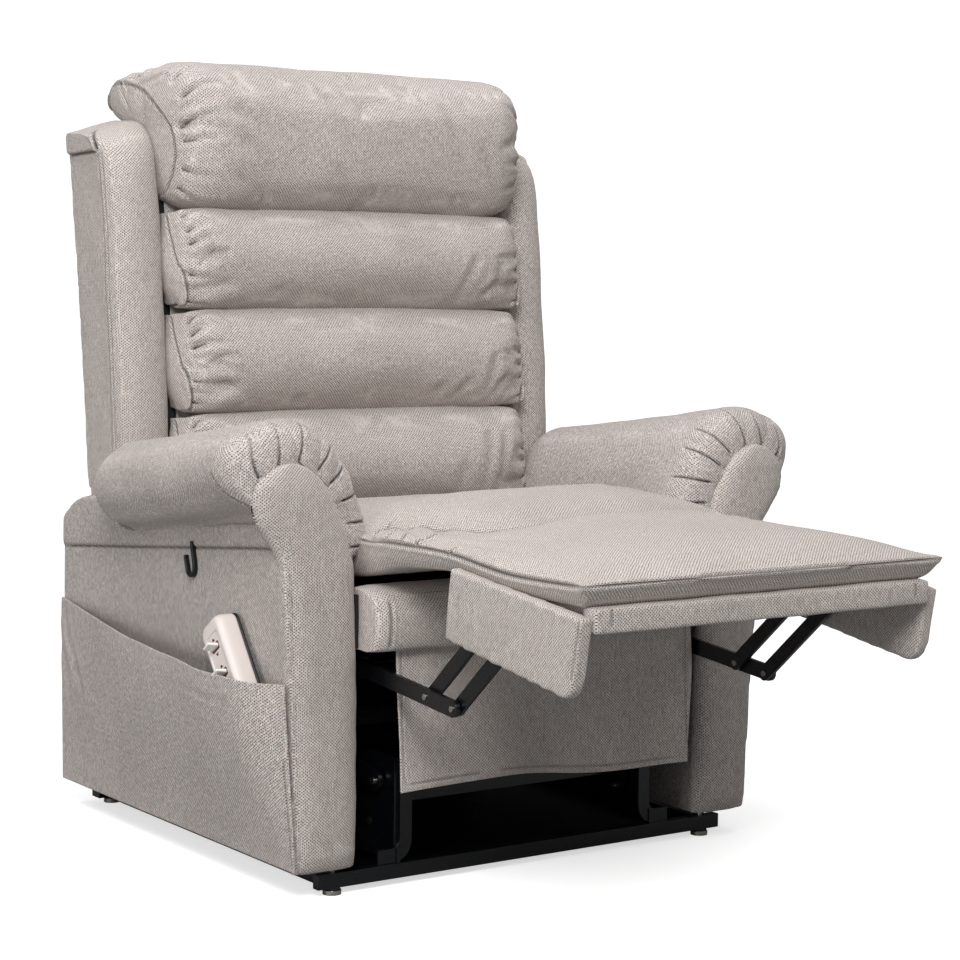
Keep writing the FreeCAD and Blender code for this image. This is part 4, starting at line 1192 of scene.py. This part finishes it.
# ---- carried-over CAD nodes ---------------------------------------------------
NODE_FINISH = (
    ("steel", ("base_", "lift_arms", "lift_cross", "lift_links", "back_brackets", "back_cross", "carriage_side",
               "carriage_tubes", "footrest_brackets", "footrest_cross", "footrest_levers", "footrest_links")),
    ("nickel", ("base_pins", "carriage_pins", "footrest_pins", "footrest_lever_pins")),
    ("zinc", ("levelling_foot",)),
    ("motor", ("lift_motor_housing", "footrest_motor_housing", "back_motor_housing", "foot_nuts")),
    ("rod", ("lift_motor_rod", "footrest_motor_rod", "back_motor_rod")),
    ("wood", ("seat_rear_rail", "arm_top_boards")),
    ("lining", ("back_frame", "seat_side_rails")),
    ("webbing", ("back_webbing", "seat_webbing")),
    ("hook", ("handset_hook",)),
    ("handset", ("handset_body",)),
    ("lever", ("handset_lever_",)),
    ("side_fabric", ("arm_inner_panels", "arm_rear_panels", "rear_panel")),
)


def finish_cad_nodes():
    for name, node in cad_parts.items():
        if node.hide_render:
            continue
        chosen = "steel"
        for finish, starts in NODE_FINISH:
            if name.startswith(starts):
                chosen = finish
        node.data.materials.clear()
        node.data.materials.append(MATERIALS[chosen])


# ---- stage -----------------------------------------------------------------
CAMERA_PLACE = (-1927.2, -2716.0, 815.2)
CAMERA_YAW, CAMERA_DOWN, CAMERA_ROLL = 35.05, 4.88, 0.70
CAMERA_FOCAL = 88.57
FLOOR_BOUNCE = 0.3       # how much of its light the floor passes on to the chair
FLOOR_GLOW = 0.62         # lifts the floor and backdrop towards white
WORLD_LIGHT = 0.3


def make_camera():
    yaw, down, roll = (math.radians(v) for v in (CAMERA_YAW, CAMERA_DOWN, CAMERA_ROLL))
    ahead = Vector((math.sin(yaw) * math.cos(down), math.cos(yaw) * math.cos(down), -math.sin(down)))
    right = Vector((math.cos(yaw), -math.sin(yaw), 0))
    up = right.cross(ahead)
    level_right = right * math.cos(roll) + up * math.sin(roll)
    level_up = up * math.cos(roll) - right * math.sin(roll)
    data = bpy.data.cameras.new("camera")
    data.lens = CAMERA_FOCAL
    data.sensor_width = 36
    data.clip_end = 50
    camera = bpy.data.objects.new("camera", data)
    turn = Matrix((level_right, level_up, -ahead)).transposed()
    camera.matrix_world = Matrix.Translation(Vector(CAMERA_PLACE) * MM) @ turn.to_4x4()
    bpy.context.scene.collection.objects.link(camera)
    bpy.context.scene.camera = camera


def softbox(name, place, target, size, power, colour=(1, 1, 1)):
    data = bpy.data.lights.new(name, "AREA")
    data.shape = "RECTANGLE"
    data.size, data.size_y = size
    data.energy = power
    data.color = colour
    light = bpy.data.objects.new(name, data)
    light.location = place
    light.rotation_euler = (Vector(target) - Vector(place)).to_track_quat("-Z", "Y").to_euler()
    bpy.context.scene.collection.objects.link(light)


def make_stage():
    """A pale sweep that curves up behind the chair."""
    profile = [(-9.0, 0.0), (3.2, 0.0)]
    profile += [(3.2 + 1.8 * math.sin(a), 1.8 - 1.8 * math.cos(a)) for a in np.linspace(0, math.pi / 2, 14)[1:]]
    profile += [(5.0, 6.0)]
    ahead = Vector((math.sin(math.radians(CAMERA_YAW)), math.cos(math.radians(CAMERA_YAW)), 0))
    across = Vector((ahead.y, -ahead.x, 0))
    points = [tuple((ahead * d + across * s + Vector((0, 0, h))) / MM) for d, h in profile for s in (-9, 9)]
    faces = [(2 * i, 2 * i + 1, 2 * i + 3, 2 * i + 2) for i in range(len(profile) - 1)]
    floor = make("floor", points, faces)
    made, n, shader = material("floor_paper")
    place = n.add("ShaderNodeTexCoord").outputs["Object"]
    seen = n.add("ShaderNodeLightPath").outputs["Is Camera Ray"]
    tone = n.math("MULTIPLY", n.between(n.noise(place, 1.5), 0.3, 0.7, 0.90, 0.92),
                  n.between(seen, 0.0, 1.0, FLOOR_BOUNCE, 1.0))
    made.node_tree.links.new(n.add("ShaderNodeCombineColor", [tone, tone, tone]).outputs[0],
                             shader.inputs["Base Color"])
    shader.inputs["Roughness"].default_value = 0.6
    shader.inputs["Specular IOR Level"].default_value = 0.2
    shader.inputs["Emission Color"].default_value = (1, 1, 1, 1)
    made.node_tree.links.new(n.math("MULTIPLY", seen, FLOOR_GLOW), shader.inputs["Emission Strength"])
    floor.data.materials.append(made)
    world = bpy.data.worlds.new("studio")
    world.use_nodes = True
    backdrop = world.node_tree.nodes["Background"]
    backdrop.inputs[0].default_value = (1, 1, 1, 1)
    sky = Nodes(world.node_tree)
    seen = sky.add("ShaderNodeLightPath").outputs["Is Camera Ray"]
    world.node_tree.links.new(sky.between(seen, 0.0, 1.0, WORLD_LIGHT, 1.0), backdrop.inputs[1])
    bpy.context.scene.world = world
    target = (0, 0, 0.6)
    softbox("key", (-2.2, -2.8, 3.3), target, (1.8, 1.8), 148)
    softbox("side", (-3.3, -0.5, 1.1), target, (1.6, 1.4), 26)
    softbox("fill", (2.8, -2.6, 2.2), target, (2.4, 2.4), 8)
    softbox("top", (0.0, 0.2, 3.6), target, (2.6, 2.6), 50)
    bpy.context.scene.view_settings.view_transform = "Standard"


MATERIALS = make_materials()
make_pillows()
make_back()
make_lining()
make_arms()
pocket()
hook()
handset()
make_seat()
finish_cad_nodes()
make_camera()
make_stage()
